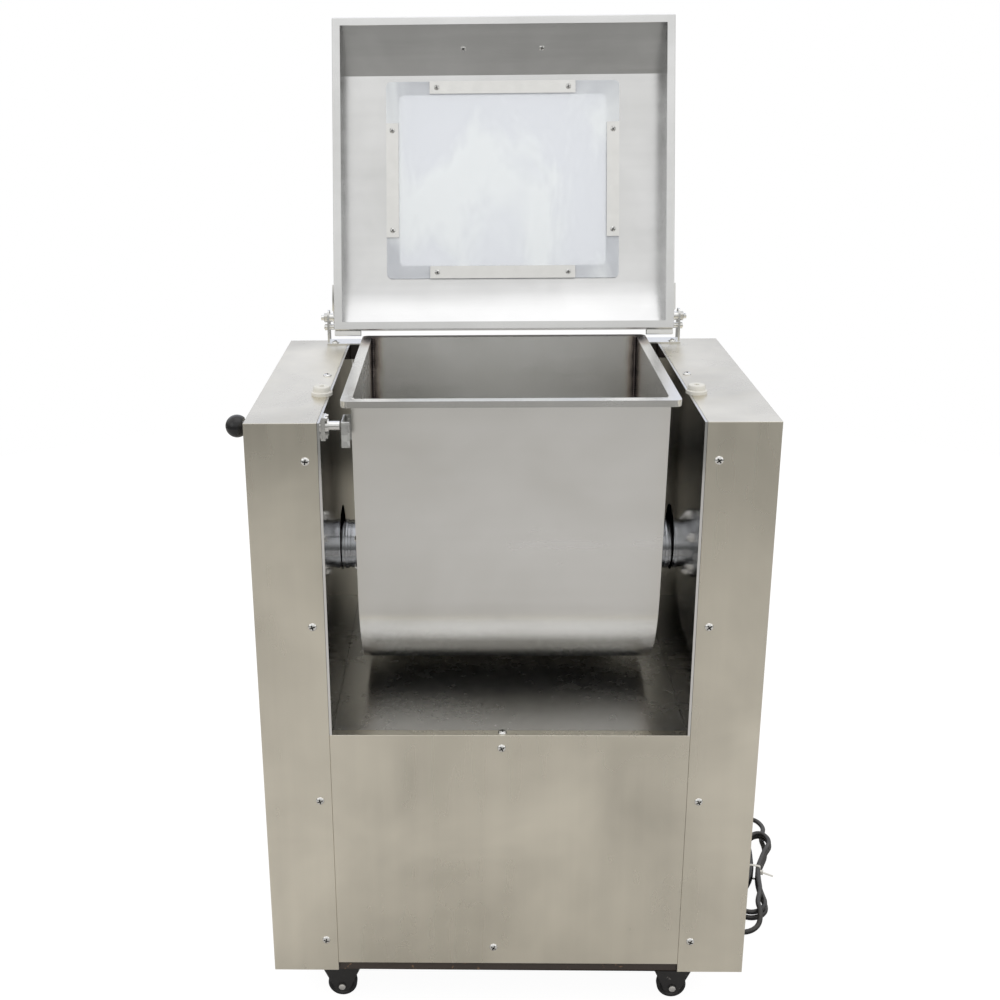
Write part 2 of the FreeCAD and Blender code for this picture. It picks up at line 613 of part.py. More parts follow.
def stud_places(count=6):
    """Offsets of the studs round a trunnion flange, as pairs of formulas."""
    step = 360 / count
    return [(f"stud_circle_radius * cos({30 + i * step})", f"stud_circle_radius * sin({30 + i * step})")
            for i in range(count)]


def trunnion(label, name):
    """A trunnion: bolted flange and hollow hub that turns in the bearing housing."""
    wall = "tank_half_width"
    hub = turned(name, "x", [
        (wall, "hub_bore_radius"), (wall, "hub_flange_radius - 1"), (f"{wall} + 1", "hub_flange_radius"),
        (f"{wall} + hub_flange_thickness", "hub_flange_radius"),
        (f"{wall} + hub_flange_thickness", "hub_radius"), ("hub_end - 1.5", "hub_radius"),
        ("hub_end", "hub_radius - 1.5"), ("hub_end", "hub_bore_radius")])
    at(hub, z=AXIS)
    holes = [rod(f"{name}Hole{i}", "x", f"{wall} - 2", "hub_flange_thickness + 4",
                 "stud_radius + running_fit", y=y, z=f"{AXIS} + {z}") for i, (y, z) in enumerate(stud_places())]
    return cut(name + "Drilled", hub, *holes)


def flange_nuts(name):
    """Studs on the tank wall with their nuts over a trunnion flange."""
    wall = "tank_half_width"
    parts = []
    for i, (y, z) in enumerate(stud_places()):
        height = f"{AXIS} + {z}"
        stud = rod(f"{name}Stud{i}", "x", wall, "hub_flange_thickness + 9", "stud_radius", y=y, z=height)
        nut = hexagon(f"{name}Nut{i}", "x", f"{wall} + hub_flange_thickness", "6.5", "13", y, height)
        parts.append(fuse(f"{name}Fastener{i}", stud, nut))
    return parts


def shaft_bush(name):
    """A flanged bush between the mixing shaft and a hub, with its flange in the tank."""
    start = "tank_half_width - tank_sheet"
    bush = turned(name, "x", [
        (f"{start} - bush_flange_thickness", "shaft_radius + running_fit"),
        (f"{start} - bush_flange_thickness", "bush_flange_radius"), (start, "bush_flange_radius"),
        (start, "hub_bore_radius - 0.02"), (f"{start} + bush_length", "hub_bore_radius - 0.02"),
        (f"{start} + bush_length", "shaft_radius + running_fit")])
    return at(bush, z=AXIS)


def trunnions():
    """Both trunnions with their nuts and bushes; the left ones mirror the right ones."""
    right = trunnion("right_trunnion", "RightHub")
    node("left_trunnion", mirror("LeftHub", right))
    node("right_trunnion", group("RightHubPiece", [right]))
    fasteners = flange_nuts("Flange")
    both = fasteners + [mirror(f"LeftFlangeFastener{i}", f) for i, f in enumerate(fasteners)]
    node("flange_nuts", group("FlangeNuts", both))
    bush = shaft_bush("RightBush")
    node("shaft_bushes", group("ShaftBushes", [bush, mirror("LeftBush", bush)]))


def bearing_housing(name):
    """A flanged bearing housing bolted to the two beams of a tower."""
    beam_face = f"({INNER} + panel_fold - tower_gap + 1 + tower_tube)"
    bore = "hub_radius + running_fit"
    half, tall = "housing_width / 2", "housing_height / 2"
    square = [("-" + half, "-" + tall), (half, "-" + tall), (half, tall), ("-" + half, tall)]
    plate_body = plate(name + "Plate", "x", (beam_face, f"{beam_face} + housing_plate"), [square],
                       [("0", "0", bore)] + [(y, z, "5") for y, z in housing_bolt_places()])
    at(plate_body, beam_face, "0", AXIS)
    barrel = turned(name + "Barrel", "x", [
        (f"{beam_face} - housing_barrel", bore), (f"{beam_face} - housing_barrel", "housing_radius - 3"),
        (f"{beam_face} - housing_barrel + 3", "housing_radius"), (f"{beam_face} + 0.01", "housing_radius"),
        (f"{beam_face} + 0.01", bore)])
    at(barrel, z=AXIS)
    return fuse(name, plate_body, barrel)


def housing_bolt_places():
    """Offsets of the four bolts of a bearing housing, as pairs of formulas."""
    return [(f"{a} * (housing_width / 2 - 18)", f"{b} * beam_offset") for a in (-1, 1) for b in (-1, 1)]


def bearings():
    housing = bearing_housing("RightHousing")
    node("bearing_housings", group("BearingHousings", [housing, mirror("LeftHousing", housing)]))
    beam_face = f"({INNER} + panel_fold - tower_gap + 1 + tower_tube)"
    heads = []
    for i, (y, z) in enumerate(housing_bolt_places()):
        height = f"{AXIS} + {z}"
        bolt = rod(f"HousingBolt{i}", "x", beam_face, "housing_plate + 2", "4.9", y=y, z=height)
        head = hexagon(f"HousingHead{i}", "x", f"{beam_face} + housing_plate", "6.4", "16", y, height)
        heads.append(fuse(f"HousingFastener{i}", bolt, head))
    both = heads + [mirror(f"LeftHousingFastener{i}", h) for i, h in enumerate(heads)]
    node("housing_bolts", group("HousingBolts", both))


def mixing_shaft():
    """The stepped mixing shaft through both hubs."""
    shaft = turned("Shaft", "x", [
        ("-shaft_left_end", "0"), ("-shaft_left_end", "shaft_radius - 1.5"),
        ("-shaft_left_end + 1.5", "shaft_radius"), ("hub_end + 2", "shaft_radius"),
        ("hub_end + 2", "shaft_radius - 2.5"), ("shaft_right_end - 1.5", "shaft_radius - 2.5"),
        ("shaft_right_end", "shaft_radius - 4"), ("shaft_right_end", "0")])
    node("mixing_shaft", at(shaft, z=AXIS))


def paddle_arm(index, place, angle):
    """A cross arm welded round the shaft with a pitched blade at each end."""
    socket = "(shaft_radius + 9)"
    tag = f"Arm{index}"
    collar = cut(tag + "Collar", rod(tag + "CollarOut", "x", "-14", "28", socket),
                 rod(tag + "CollarBore", "x", "-15", "30", "shaft_radius + 0.02"))
    pieces = [collar]
    for end in (-1, 1):
        side = "Up" if end > 0 else "Down"
        start = f"{socket} - 2" if end > 0 else f"-({socket} - 2) - (paddle_reach - blade_length / 2 - {socket} + 2)"
        pieces.append(rod(tag + side, "z", start, f"paddle_reach - blade_length / 2 - {socket} + 2", "arm_radius"))
        half = "blade_width / 2"
        z = ("paddle_reach - blade_length", "paddle_reach") if end > 0 else (
            "-paddle_reach", "blade_length - paddle_reach")
        blade = block(tag + side + "Flat", (f"-{half}", half), ("-blade_thickness / 2", "blade_thickness / 2"), z)
        round_end = rod(tag + side + "Round", "y", "-blade_thickness", "2 * blade_thickness",
                        "paddle_reach - 6", z=0)
        shaped = doc.addObject("Part::Common", tag + side + "Shape")
        shaped.Base = blade
        shaped.Tool = round_end
        pitched = group(tag + side + "Blade", [shaped])
        pitched.Placement = FreeCAD.Placement(V(), FreeCAD.Rotation(V(0, 0, 1), end * number("blade_pitch")))
        pieces.append(pitched)
    arm = fuse(tag, *pieces)
    arm.Placement = FreeCAD.Placement(V(), FreeCAD.Rotation(V(1, 0, 0), angle))
    holder = group(tag + "Placed", [arm])
    return at(holder, place, "0", AXIS)


def mixing_paddles():
    """The cross arms, each turned on from the last."""
    count = int(number("paddle_count"))
    arms = [paddle_arm(i, f"(({i} - (paddle_count - 1) / 2) * paddle_spacing)", i * number("paddle_step"))
            for i in range(count)]
    node("mixing_paddles", group("MixingPaddles", arms))


def pitch_radius(teeth):
    return number("chain_pitch") / 2 / math.sin(math.pi / teeth)


def sprocket_face(teeth, first):
    """The toothed outline of a sprocket in the YZ plane; first is the angle of one roller seat."""
    radius = pitch_radius(teeth)
    seat = radius - number("roller_radius") - 0.5
    tip = radius + 5
    step = 2 * math.pi / teeth
    points = []
    for i in range(teeth):
        middle = first + (i + 0.5) * step
        for level, half_width in ((seat, -4.2), (tip, -2.0), (tip, 2.0), (seat, 4.2)):
            angle = middle + half_width / level
            points.append(V(0, level * math.cos(angle), level * math.sin(angle)))
    return Part.Face(Part.makePolygon(points + points[:1]))


def sprocket(name, teeth, first, bore, hub_radius, hub_half, height):
    """A sprocket with its hub, centred on the chain plane at a height above the floor."""
    thick = number("sprocket_thickness")
    disc = sprocket_face(teeth, first).extrude(V(thick, 0, 0)).translated(V(-thick / 2, 0, 0))
    hub = Part.makeCylinder(hub_radius, 2 * hub_half, V(-hub_half, 0, 0), V(1, 0, 0))
    hole = Part.makeCylinder(bore, 4 * hub_half, V(-2 * hub_half, 0, 0), V(1, 0, 0))
    solid = doc.addObject("Part::Feature", name)
    solid.Shape = disc.fuse(hub).cut(hole).removeSplitter()
    return at(solid, "chain_plane", "0", height)


def chain_layout():
    """Roller places round both sprockets, and the distance between the two shafts."""
    pitch = number("chain_pitch")
    driven, motor = int(number("driven_teeth")), int(number("motor_teeth"))
    big, small = pitch_radius(driven), pitch_radius(motor)
    big_step, small_step = 2 * math.pi / driven, 2 * math.pi / motor
    big_count, small_count = driven // 4 + 1, motor // 4
    top = [(big * math.sin(k * big_step), big * math.cos(k * big_step)) for k in range(-big_count, big_count + 1)]
    end_y, end_z = top[-1]
    foot_y = small * math.sin(small_count * small_step)
    foot_z = -small * math.cos(small_count * small_step)
    run = number("span_links") * pitch
    centres = math.sqrt(run ** 2 - (end_y - foot_y) ** 2) - end_z + foot_z
    bottom = [(small * math.sin(k * small_step), -centres - small * math.cos(k * small_step))
              for k in range(small_count, -small_count - 1, -1)]
    links = int(number("span_links"))

    def straight(a, b):
        return [(a[0] + (b[0] - a[0]) * i / links, a[1] + (b[1] - a[1]) * i / links) for i in range(1, links)]

    loop = top + straight(top[-1], bottom[0]) + bottom + straight(bottom[-1], top[0])
    return loop, centres


def drive_chain():
    """The roller chain: rollers between pairs of side plates, inner and outer by turns."""
    loop, _ = chain_layout()
    roller, width = number("roller_radius"), number("roller_width")
    plate_thick, plate_half = number("link_thickness"), number("link_height") / 2
    solids = []
    for i, (y, z) in enumerate(loop):
        after_y, after_z = loop[(i + 1) % len(loop)]
        way = V(0, after_y - y, after_z - z)
        reach = way.Length
        way.normalize()
        side = V(0, -way.z, way.y)
        spot = V(0, y, z)
        ring = [spot + way * roller * math.cos(a) + side * roller * math.sin(a)
                for a in (math.radians(60 * k) for k in range(7))]
        face = Part.Face(Part.makePolygon(ring))
        solids.append(face.extrude(V(width, 0, 0)).translated(V(-width / 2, 0, 0)))
        gap = width / 2 + 0.05 + (plate_thick + 0.05) * (i % 2)
        ends = [(-0.8 * plate_half, 0), (-0.35 * plate_half, plate_half), (reach + 0.35 * plate_half, plate_half),
                (reach + 0.8 * plate_half, 0), (reach + 0.35 * plate_half, -plate_half),
                (-0.35 * plate_half, -plate_half)]
        corners = [spot + way * a + side * b * 0.92 for a, b in ends]
        link = Part.Face(Part.makePolygon(corners + corners[:1]))
        for start in (gap, -gap - plate_thick):
            solids.append(link.translated(V(start, 0, 0)).extrude(V(plate_thick, 0, 0)))
    chain = doc.addObject("Part::Feature", "DriveChain")
    chain.Shape = Part.makeCompound(solids)
    node("drive_chain", at(chain, "chain_plane", "0", AXIS))


def drive():
    """Gear motor on its table, its shaft and both sprockets."""
    _, centres = chain_layout()
    motor_height = f"({AXIS} - {centres:.4f})"
    driven, motor = int(number("driven_teeth")), int(number("motor_teeth"))
    node("driven_sprocket", sprocket("DrivenSprocket", driven, math.pi / 2,
                                     number("shaft_radius - 2.5 + 0.02"), 32, 11, AXIS))
    node("motor_sprocket", sprocket("MotorSprocket", motor, -math.pi / 2,
                                    number("gearbox_shaft_radius + 0.02"), 24, 9, motor_height))
    node("gearbox_shaft", rod("GearboxShaft", "x", "gearbox_end - 30",
                              "chain_plane + 12 - gearbox_end + 30", "gearbox_shaft_radius", z=motor_height))
    half = "gearbox_size / 2"
    start = "(gearbox_end - gearbox_width)"
    case = rounded("GearboxCase", block("GearboxBox", (start, "gearbox_end"), (f"-{half}", half),
                                        (f"{motor_height} - {half}", f"{motor_height} + {half}")),
                   "14", (9, 10, 11, 12))
    boss = rod("GearboxBoss", "x", "gearbox_end - 1", "9", "40", z=motor_height)
    bore = rod("GearboxBore", "x", "gearbox_end - 30 - running_fit", "60",
               "gearbox_shaft_radius + running_fit", z=motor_height)
    node("gearbox", cut("Gearbox", fuse("GearboxSolid", case, boss), bore))
    ribs = [("0", "0"), ("0", "motor_radius + 8"), ("10", "motor_radius + 8"), ("10", "motor_radius - 6")]
    fins = 6
    for i in range(fins):
        a = f"(24 + {i} * 24)"
        ribs += [(a, "motor_radius - 6"), (a, "motor_radius"), (f"{a} + 8", "motor_radius"),
                 (f"{a} + 8", "motor_radius - 6")]
    ribs += [("motor_length - 50", "motor_radius - 6"), ("motor_length - 50", "motor_radius + 2"),
             ("motor_length - 8", "motor_radius + 2"), ("motor_length", "motor_radius - 8"),
             ("motor_length", "0")]
    motor_body = turned("MotorBody", "x", [(f"-({a})", r) for a, r in ribs])
    at(motor_body, start, "0", motor_height)
    node("motor", motor_body)
    low = "(caster_height + caster_plate_thickness + base_tube)"
    high = f"({motor_height} - {half})"
    legs = [block(f"TableLeg{i}", x, ("-110", "110"), (low, high))
            for i, x in enumerate(((f"{start} + 4", f"{start} + 10"), ("gearbox_end - 10", "gearbox_end - 4")))]
    top = block("TableTop", (f"{start} + 4", "gearbox_end - 4"), ("-110", "110"), (f"{high} - mount_plate", high))
    node("motor_table", fuse("MotorTable", top, *legs))


def lid_corners(offset, mouth):
    """The lid's section from its back wall to its front wall; offset moves it inwards."""
    back, front = f"(pivot_inset - {offset})", f"(pivot_inset - lid_length + {offset})"
    run, rise = "lid_slope", "(lid_rise - lid_wall)"
    length = f"sqrt({run} ^ 2 + {rise} ^ 2)"
    shoulder = f"(lid_wall - pivot_rise - {offset} * ({length} - {rise}) / {run})"
    flat = f"(lid_rise - pivot_rise - {offset})"
    knee = f"({run} + {offset} * (({length} - {run}) / {rise} - 1))"
    return [(back, mouth), (back, shoulder), (f"{back} - {knee}", flat),
            (f"{front} + {knee}", flat), (front, shoulder), (front, mouth)]


def hang(label, parts):
    """Places lid pieces, made closed round the pivot, with the lid standing open."""
    piece = group(label.title().replace("_", ""), parts)
    turn = FreeCAD.Rotation(V(1, 0, 0), -number("lid_open_angle"))
    piece.Placement = FreeCAD.Placement(V(), turn)
    at(piece, "0", "pivot_setback", "top_height + pivot_height")
    piece.Placement = FreeCAD.Placement(piece.Placement.Base, turn)
    node(label, piece)


def symmetric_plate(name, half, loops):
    """A section in the YZ plane padded the same way to both sides."""
    return plate(name, "x", (f"-({half})", f"({half})"), loops)


def lid_shell():
    """The domed lid: flat ends, sloped front and back, a window opening and a return lip."""
    rim = "(-pivot_rise)"
    outside = symmetric_plate("LidOutside", "lid_half_width", [lid_corners("0", rim)])
    inside = symmetric_plate("LidInside", "lid_half_width - lid_sheet", [lid_corners("lid_sheet", f"{rim} - 5")])
    y = ("pivot_inset - lid_length", "pivot_inset")
    lip_out = block("LipOut", ("-lid_half_width", "lid_half_width"), y, (rim, f"{rim} + lid_sheet"))
    lip_in = block("LipIn", ("-lid_half_width + lid_lip", "lid_half_width - lid_lip"),
                   (f"{y[0]} + lid_lip", f"{y[1]} - lid_lip"), (f"{rim} - 1", f"{rim} + lid_sheet + 1"))
    middle = "(pivot_inset - lid_length / 2)"
    wide, deep = "(pane_width / 2 - pane_lap)", "(pane_length / 2 - pane_lap)"
    window = rounded("WindowCut", block("WindowBox", (f"-{wide}", wide), (f"{middle} - {deep}", f"{middle} + {deep}"),
                                        ("0", "lid_rise")), "pane_corner", UPRIGHT_EDGES)
    pivots = rod("LidPivotHoles", "x", "-lid_half_width - 5", "2 * lid_half_width + 10",
                 "pivot_radius + running_fit")
    holes = [rod(f"LidHole{i}", "z", "0", "lid_rise", "2.1", x=x, y=y) for i, (x, y) in enumerate(strip_screw_places())]
    shell = cut("LidBent", outside, inside)
    lip = cut("LidLip", lip_out, lip_in)
    hang("lid_shell", [cut("LidPierced", fuse("LidWhole", shell, lip), window, pivots, *holes)])


def strip_screw_places():
    """Places of the eight window screws in the closed lid."""
    middle = "(pivot_inset - lid_length / 2)"
    long_x = "(long_strip / 2 - strip_screw_inset)"
    long_y = "(pane_length / 2 - strip_width / 2)"
    short_x = "(pane_width / 2 - strip_width / 2)"
    short_y = "(short_strip / 2 - strip_screw_inset)"
    places = [(f"{a} * {long_x}", f"{middle} + {b} * {long_y}") for a in (-1, 1) for b in (-1, 1)]
    places += [(f"{a} * {short_x}", f"{middle} + {b} * {short_y}") for a in (-1, 1) for b in (-1, 1)]
    return places


def lid_window():
    """The clear pane under the lid's flat, its four strips and eight screws."""
    middle = "(pivot_inset - lid_length / 2)"
    top = "(lid_rise - pivot_rise - lid_sheet)"
    half_x, half_y = "(pane_width / 2)", "(pane_length / 2)"
    pane = rounded("PaneRounded", block("PaneBox", (f"-{half_x}", half_x), (f"{middle} - {half_y}", f"{middle} + {half_y}"),
                                        (f"{top} - pane_thickness", top)), "pane_corner", UPRIGHT_EDGES)
    holes = [rod(f"PaneHole{i}", "z", "0", "lid_rise", "2.1", x=x, y=y) for i, (x, y) in enumerate(strip_screw_places())]
    hang("lid_window", [cut("Pane", pane, *holes)])
    z = (f"{top} - pane_thickness - strip_thickness", f"{top} - pane_thickness")
    strips = []
    for sign, tag in ((-1, "Front"), (1, "Back")):
        edge = sorted([f"{middle} + {sign} * {half_y}", f"{middle} + {sign} * ({half_y} - strip_width)"], key=number)
        strips.append(block(f"{tag}Strip", ("-long_strip / 2", "long_strip / 2"), edge, z))
    for sign, tag in ((-1, "Left"), (1, "Right")):
        edge = sorted([f"{sign} * {half_x}", f"{sign} * ({half_x} - strip_width)"], key=number)
        strips.append(block(f"{tag}Strip", edge, (f"{middle} - short_strip / 2", f"{middle} + short_strip / 2"), z))
    drilled = []
    for i, strip in enumerate(strips):
        near = strip_screw_places()[:4] if i < 2 else strip_screw_places()[4:]
        drills = [rod(f"{strip.Name}Hole{k}", "z", "0", "lid_rise", "2.1", x=x, y=y) for k, (x, y) in enumerate(near)]
        drilled.append(cut(strip.Name + "Drilled", strip, *drills))
    hang("window_strips", drilled)
    screws = []
    for i, (x, y) in enumerate(strip_screw_places()):
        seat = f"{top} - pane_thickness - strip_thickness"
        head = bind(doc.addObject("Part::Cone", f"StripHead{i}"), Radius1="2.6", Radius2="4.2", Height="2.4")
        at(head, x, y, f"{seat} - 2.4")
        stem = rod(f"StripStem{i}", "z", seat, f"pane_thickness + strip_thickness + lid_sheet + 4", "2", x=x, y=y)
        nut = bind(doc.addObject("Part::Prism", f"StripNut{i}"), Circumradius="4", Height="3.2")
        nut.Polygon = 6
        at(nut, x, y, f"{top} + lid_sheet")
        screws.append(fuse(f"StripScrew{i}", head, stem, nut))
    return screws


def lid_handle():
    """The bent bar handle on the outside of the lid's front slope, and the screws of the lid."""
    run, rise = number("lid_slope"), number("lid_rise - lid_wall")
    length = math.hypot(run, rise)
    foot = V(0, number("pivot_inset - lid_length"), number("lid_wall - pivot_rise"))
    along = V(0, run / length, rise / length)
    out = V(0, -rise / length, run / length)
    middle = foot + along * length * 0.5
    half, tall, bend = number("handle_spacing / 2"), number("handle_height"), 14.0
    k = bend * (1 - math.sqrt(0.5))

    def spot(x, up):
        return middle + V(x, 0, 0) + out * up

    path = Part.Wire([
        Part.makeLine(spot(-half, 0), spot(-half, tall - bend)),
        Part.Arc(spot(-half, tall - bend), spot(-half + k, tall - k), spot(-half + bend, tall)).toShape(),
        Part.makeLine(spot(-half + bend, tall), spot(half - bend, tall)),
        Part.Arc(spot(half - bend, tall), spot(half - k, tall - k), spot(half, tall - bend)).toShape(),
        Part.makeLine(spot(half, tall - bend), spot(half, 0))])
    ring = Part.Wire([Part.makeCircle(number("handle_radius"), spot(-half, 0), out)])
    bar = doc.addObject("Part::Feature", "HandleBar")
    bar.Shape = path.makePipeShell([ring], True, False)
    hang("lid_handle", [bar])
    screws = lid_window()
    sheet_thick = number("lid_sheet")
    for i, x in enumerate((-half, half)):
        head = doc.addObject("Part::Feature", f"HandleScrew{i}")
        seat = spot(x, -sheet_thick)
        head.Shape = Part.makeCone(4.6, 3, 3, seat, out * -1)
        screws.append(head)
    hang("lid_screws", screws)


def lid_ears():
    """Hinge ears on the lid's ends, with a heel that meets the stop pin as the lid stands open."""
    stop_reach = math.hypot(number("stop_back"), number("stop_drop"))
    stop_angle = math.atan2(-number("stop_drop"), number("stop_back")) + math.radians(number("lid_open_angle"))
    heel = stop_angle + math.asin((number("stop_radius") + 0.2) / stop_reach)
    reach = 22.0
    tip = V(0, reach * math.cos(heel), reach * math.sin(heel))
    side = number("lid_half_width")
    thick = number("ear_thickness")
    corners = [V(), tip, V(0, -48, tip.z), V(0, -48, -20), V(0, -8.5, -20), V(0, -8.5, 0), V()]
    face = Part.Face(Part.makePolygon(corners))
    ear = face.extrude(V(thick, 0, 0)).fuse(Part.makeCylinder(9.5, thick, V(), V(1, 0, 0)))
    bore = Part.makeCylinder(number("pivot_radius + running_fit"), 3 * thick, V(-thick, 0, 0), V(1, 0, 0))
    solid = doc.addObject("Part::Feature", "RightEar")
    solid.Shape = ear.cut(bore).removeSplitter()
    at(solid, "lid_half_width")
    bar = block("RightHingeBar", ("lid_half_width - hinge_bar_length", "lid_half_width"),
                ("pivot_inset", "pivot_inset + hinge_bar_thickness"),
                ("hinge_bar_rise - pivot_rise", "hinge_bar_rise + hinge_bar_height - pivot_rise"))
    hang("lid_hinge_plates", [solid, mirror("LeftEar", solid), bar, mirror("LeftHingeBar", bar)])


def hinge_bracket(name):
    """A welded hinge bracket on a column top: foot and upright plate."""
    plate_x = "(lid_half_width + ear_thickness + spacer_length)"
    pivot_z = "(top_height + pivot_height)"
    outer = (f"{plate_x}", f"{plate_x} + bracket_plate")
    y0, y1 = "(pivot_setback - 13)", BACK
    upright = plate(name + "Upright", "x", outer, [[
        (y0, "top_height"), (y1, "top_height"), (y1, f"{pivot_z} - 12"),
        ("pivot_setback + 11", f"{pivot_z} + 4"), ("pivot_setback + 6", f"{pivot_z} + 11"),
        ("pivot_setback - 6", f"{pivot_z} + 11"), ("pivot_setback - 11", f"{pivot_z} + 4")]],
        [("pivot_setback", pivot_z, "pivot_radius + 0.02"),
         ("pivot_setback + stop_back", f"{pivot_z} - stop_drop", "stop_radius - 1.5")])
    inner = f"({plate_x} + bracket_plate - bracket_length)"
    foot = block(name + "Foot", (inner, plate_x + " + bracket_plate"), (f"{BACK} - bracket_foot", BACK),
                 ("top_height", "top_height + bracket_foot_sheet"))
    hole = rod(name + "Hole", "z", "top_height - 1", "5", "screw_radius + running_fit",
               x=f"{plate_x} - 9", y=f"{BACK} - bracket_screw_inset")
    return cut(name, fuse(name + "Welded", upright, foot), hole)


def hinges():
    """Both brackets, the pivot bolts with spacers and nuts, and the stop pins."""
    right = hinge_bracket("RightBracket")
    node("hinge_brackets", group("HingeBrackets", [right, mirror("LeftBracket", right)]))
    plate_x = "(lid_half_width + ear_thickness + spacer_length)"
    pivot_z = "top_height + pivot_height"
    bolt = rod("PivotBolt", "x", "lid_half_width - lid_sheet - 0.4",
               "ear_thickness + spacer_length + bracket_plate + lid_sheet + 0.4 + 10", "pivot_radius",
               y="pivot_setback", z=pivot_z)
    head = rod("PivotHead", "x", "lid_half_width - lid_sheet - 0.4 - 4", "4", "6", y="pivot_setback", z=pivot_z)
    spacer = rod("PivotSpacer", "x", "lid_half_width + ear_thickness + 0.3", "spacer_length - 0.3", "6.5",
                 y="pivot_setback", z=pivot_z)
    nut = hexagon("PivotNut", "x", f"{plate_x} + bracket_plate", "5.5", "13", "pivot_setback", pivot_z)
    pivot = fuse("RightPivot", bolt, head, spacer, nut)
    stop_y, stop_z = "pivot_setback + stop_back", f"{pivot_z} - stop_drop"
    stem = rod("StopStem", "x", f"{plate_x} - 0.01", "bracket_plate + 6", "stop_radius - 1.52", y=stop_y, z=stop_z)
    pin = rod("StopPin", "x", "lid_half_width + 0.5", f"{plate_x} - lid_half_width - 0.5", "stop_radius",
              y=stop_y, z=stop_z)
    cap = rod("StopCap", "x", f"{plate_x} + bracket_plate", "5", "5", y=stop_y, z=stop_z)
    stop = fuse("RightStop", stem, pin, cap)
    node("hinge_pins", group("HingePins", [pivot, mirror("LeftPivot", pivot), stop, mirror("LeftStop", stop)]))


def lid_pads():
    """Nylon pads on the column tops that carry the closed lid."""
    pad = turned("RightPad", "z", [
        ("0", "0"), ("0", "pad_radius + 2.5"), ("pad_stage - 1", "pad_radius + 2.5"),
        ("pad_stage", "pad_radius + 1"), ("pad_stage", "pad_radius"), ("pad_height - 1.5", "pad_radius"),
        ("pad_height", "pad_radius - 1.5"), ("pad_height", "3.5"), ("pad_height - 4", "3.5"), ("pad_height - 4", "0")])
    at(pad, "pad_across", "-pad_forward", "top_height")
    node("lid_pads", group("LidPads", [pad, mirror("LeftPad", pad)]))


def lock():
    """The tilt lock: pin with ball knob, its guide through the left column, and the catch on the tank."""
    y, z = f"({FRONT} + pin_setback)", "(top_height - pin_drop)"
    knob_x = f"({SIDE} + knob_gap + knob_flat)"
    pin = rod("LockPin", "x", f"-{knob_x}", f"{knob_x} - pin_tip", "pin_radius", y=y, z=z)
    node("lock_pin", pin)
    ball = bind(doc.addObject("Part::Sphere", "KnobBall"), Radius="knob_radius")
    at(ball, f"-{knob_x}", y, z, TURNS["x"])
    flat = block("KnobFlat", (f"-{knob_x} + knob_flat", f"-{knob_x} + 2 * knob_radius"),
                 (f"{y} - 20", f"{y} + 20"), (f"{z} - 20", f"{z} + 20"))
    socket = rod("KnobSocket", "x", f"-{knob_x} - 0.2", "30", "pin_radius + 0.02", y=y, z=z)
    node("ball_knob", cut("BallKnob", ball, flat, socket))
    start = f"(-{SIDE} + cover_sheet + 0.5)"
    end = f"(-{INNER} + seam_gap + panel_fold)"
    sleeve = rod("GuideSleeve", "x", start, f"{end} - ({start})", "guide_radius", y=y, z=z)
    flange = block("GuideFlange", (end, f"{end} + guide_flange"), (f"{y} - 11", f"{y} + 11"), (f"{z} - 17", f"{z} + 13"))
    collar = rod("GuideCollar", "x", end, "guide_flange + 4", "pin_radius + 2.6", y=y, z=z)
    bore = rod("GuideBore", "x", f"{start} - 5", f"{end} - ({start}) + 40", "pin_radius + running_fit", y=y, z=z)
    node("lock_guide", cut("LockGuide", fuse("GuideSolid", sleeve, flange, collar), bore))
    heads = []
    for i, (dy, dz) in enumerate(((-6, 10.2), (6, 10.2), (-6, -12.5), (6, -12.5))):
        heads.append(hexagon(f"GuideScrew{i}", "x", f"{end} + guide_flange", "3", "5.5", f"{y} + {dy}", f"{z} + {dz}"))
    wall = "tank_half_width"
    z_span = ("top_height - 41", "top_height - 7")
    hat = block("CatchHat", (f"-{wall} - catch_depth", f"-{wall}"), (f"{y} - 16", f"{y} + 22"), z_span)
    room = block("CatchRoom", (f"-{wall} - catch_depth + catch_sheet", f"-{wall} + 1"),
                 (f"{y} - 16 + catch_sheet", f"{y} + 22 - catch_sheet"), ("top_height - 60", "top_height"))
    hole = rod("CatchHole", "x", f"-{wall} - 20", "25", "pin_radius + 0.35", y=y, z=z)
    node("lock_catch", cut("LockCatch", hat, room, hole))
    return heads


def screws():
    """Screws of the covers, panels and hinge brackets, and of the lock pin's guide."""
    found = lock()
    for side, tag in ((-1, "Left"), (1, "Right")):
        for i, height in enumerate(column_screw_places()):
            found.append(screw(f"{tag}ColumnScrew{i}", "y", f"{side} * screw_across", FRONT, height, 1, "cover_sheet + 1.9"))
        found.append(screw(f"{tag}TopScrew", "z", f"{side} * (screw_across - 5)", "6", "top_height", -1, "8"))
    panel = [screw(f"FrontScrew{i}", "y", x, FRONT, z, 1, "panel_sheet + 2.2") for i, (x, z) in enumerate(front_screw_places())]
    panel.append(screw("DeckScrew", "z", "-9", f"{FRONT} + 8", "deck_height", -1, "7"))
    hinge_x = "(lid_half_width + ear_thickness + spacer_length - 9)"
    bracket = [screw(f"{tag}BracketScrew", "z", f"{side} * {hinge_x}", f"{BACK} - bracket_screw_inset",
                     "top_height + bracket_foot_sheet", -1, "bracket_foot_sheet - 0.1")
               for side, tag in ((-1, "Left"), (1, "Right"))]
    node("casing_screws", group("CasingScrews", found + panel + bracket))


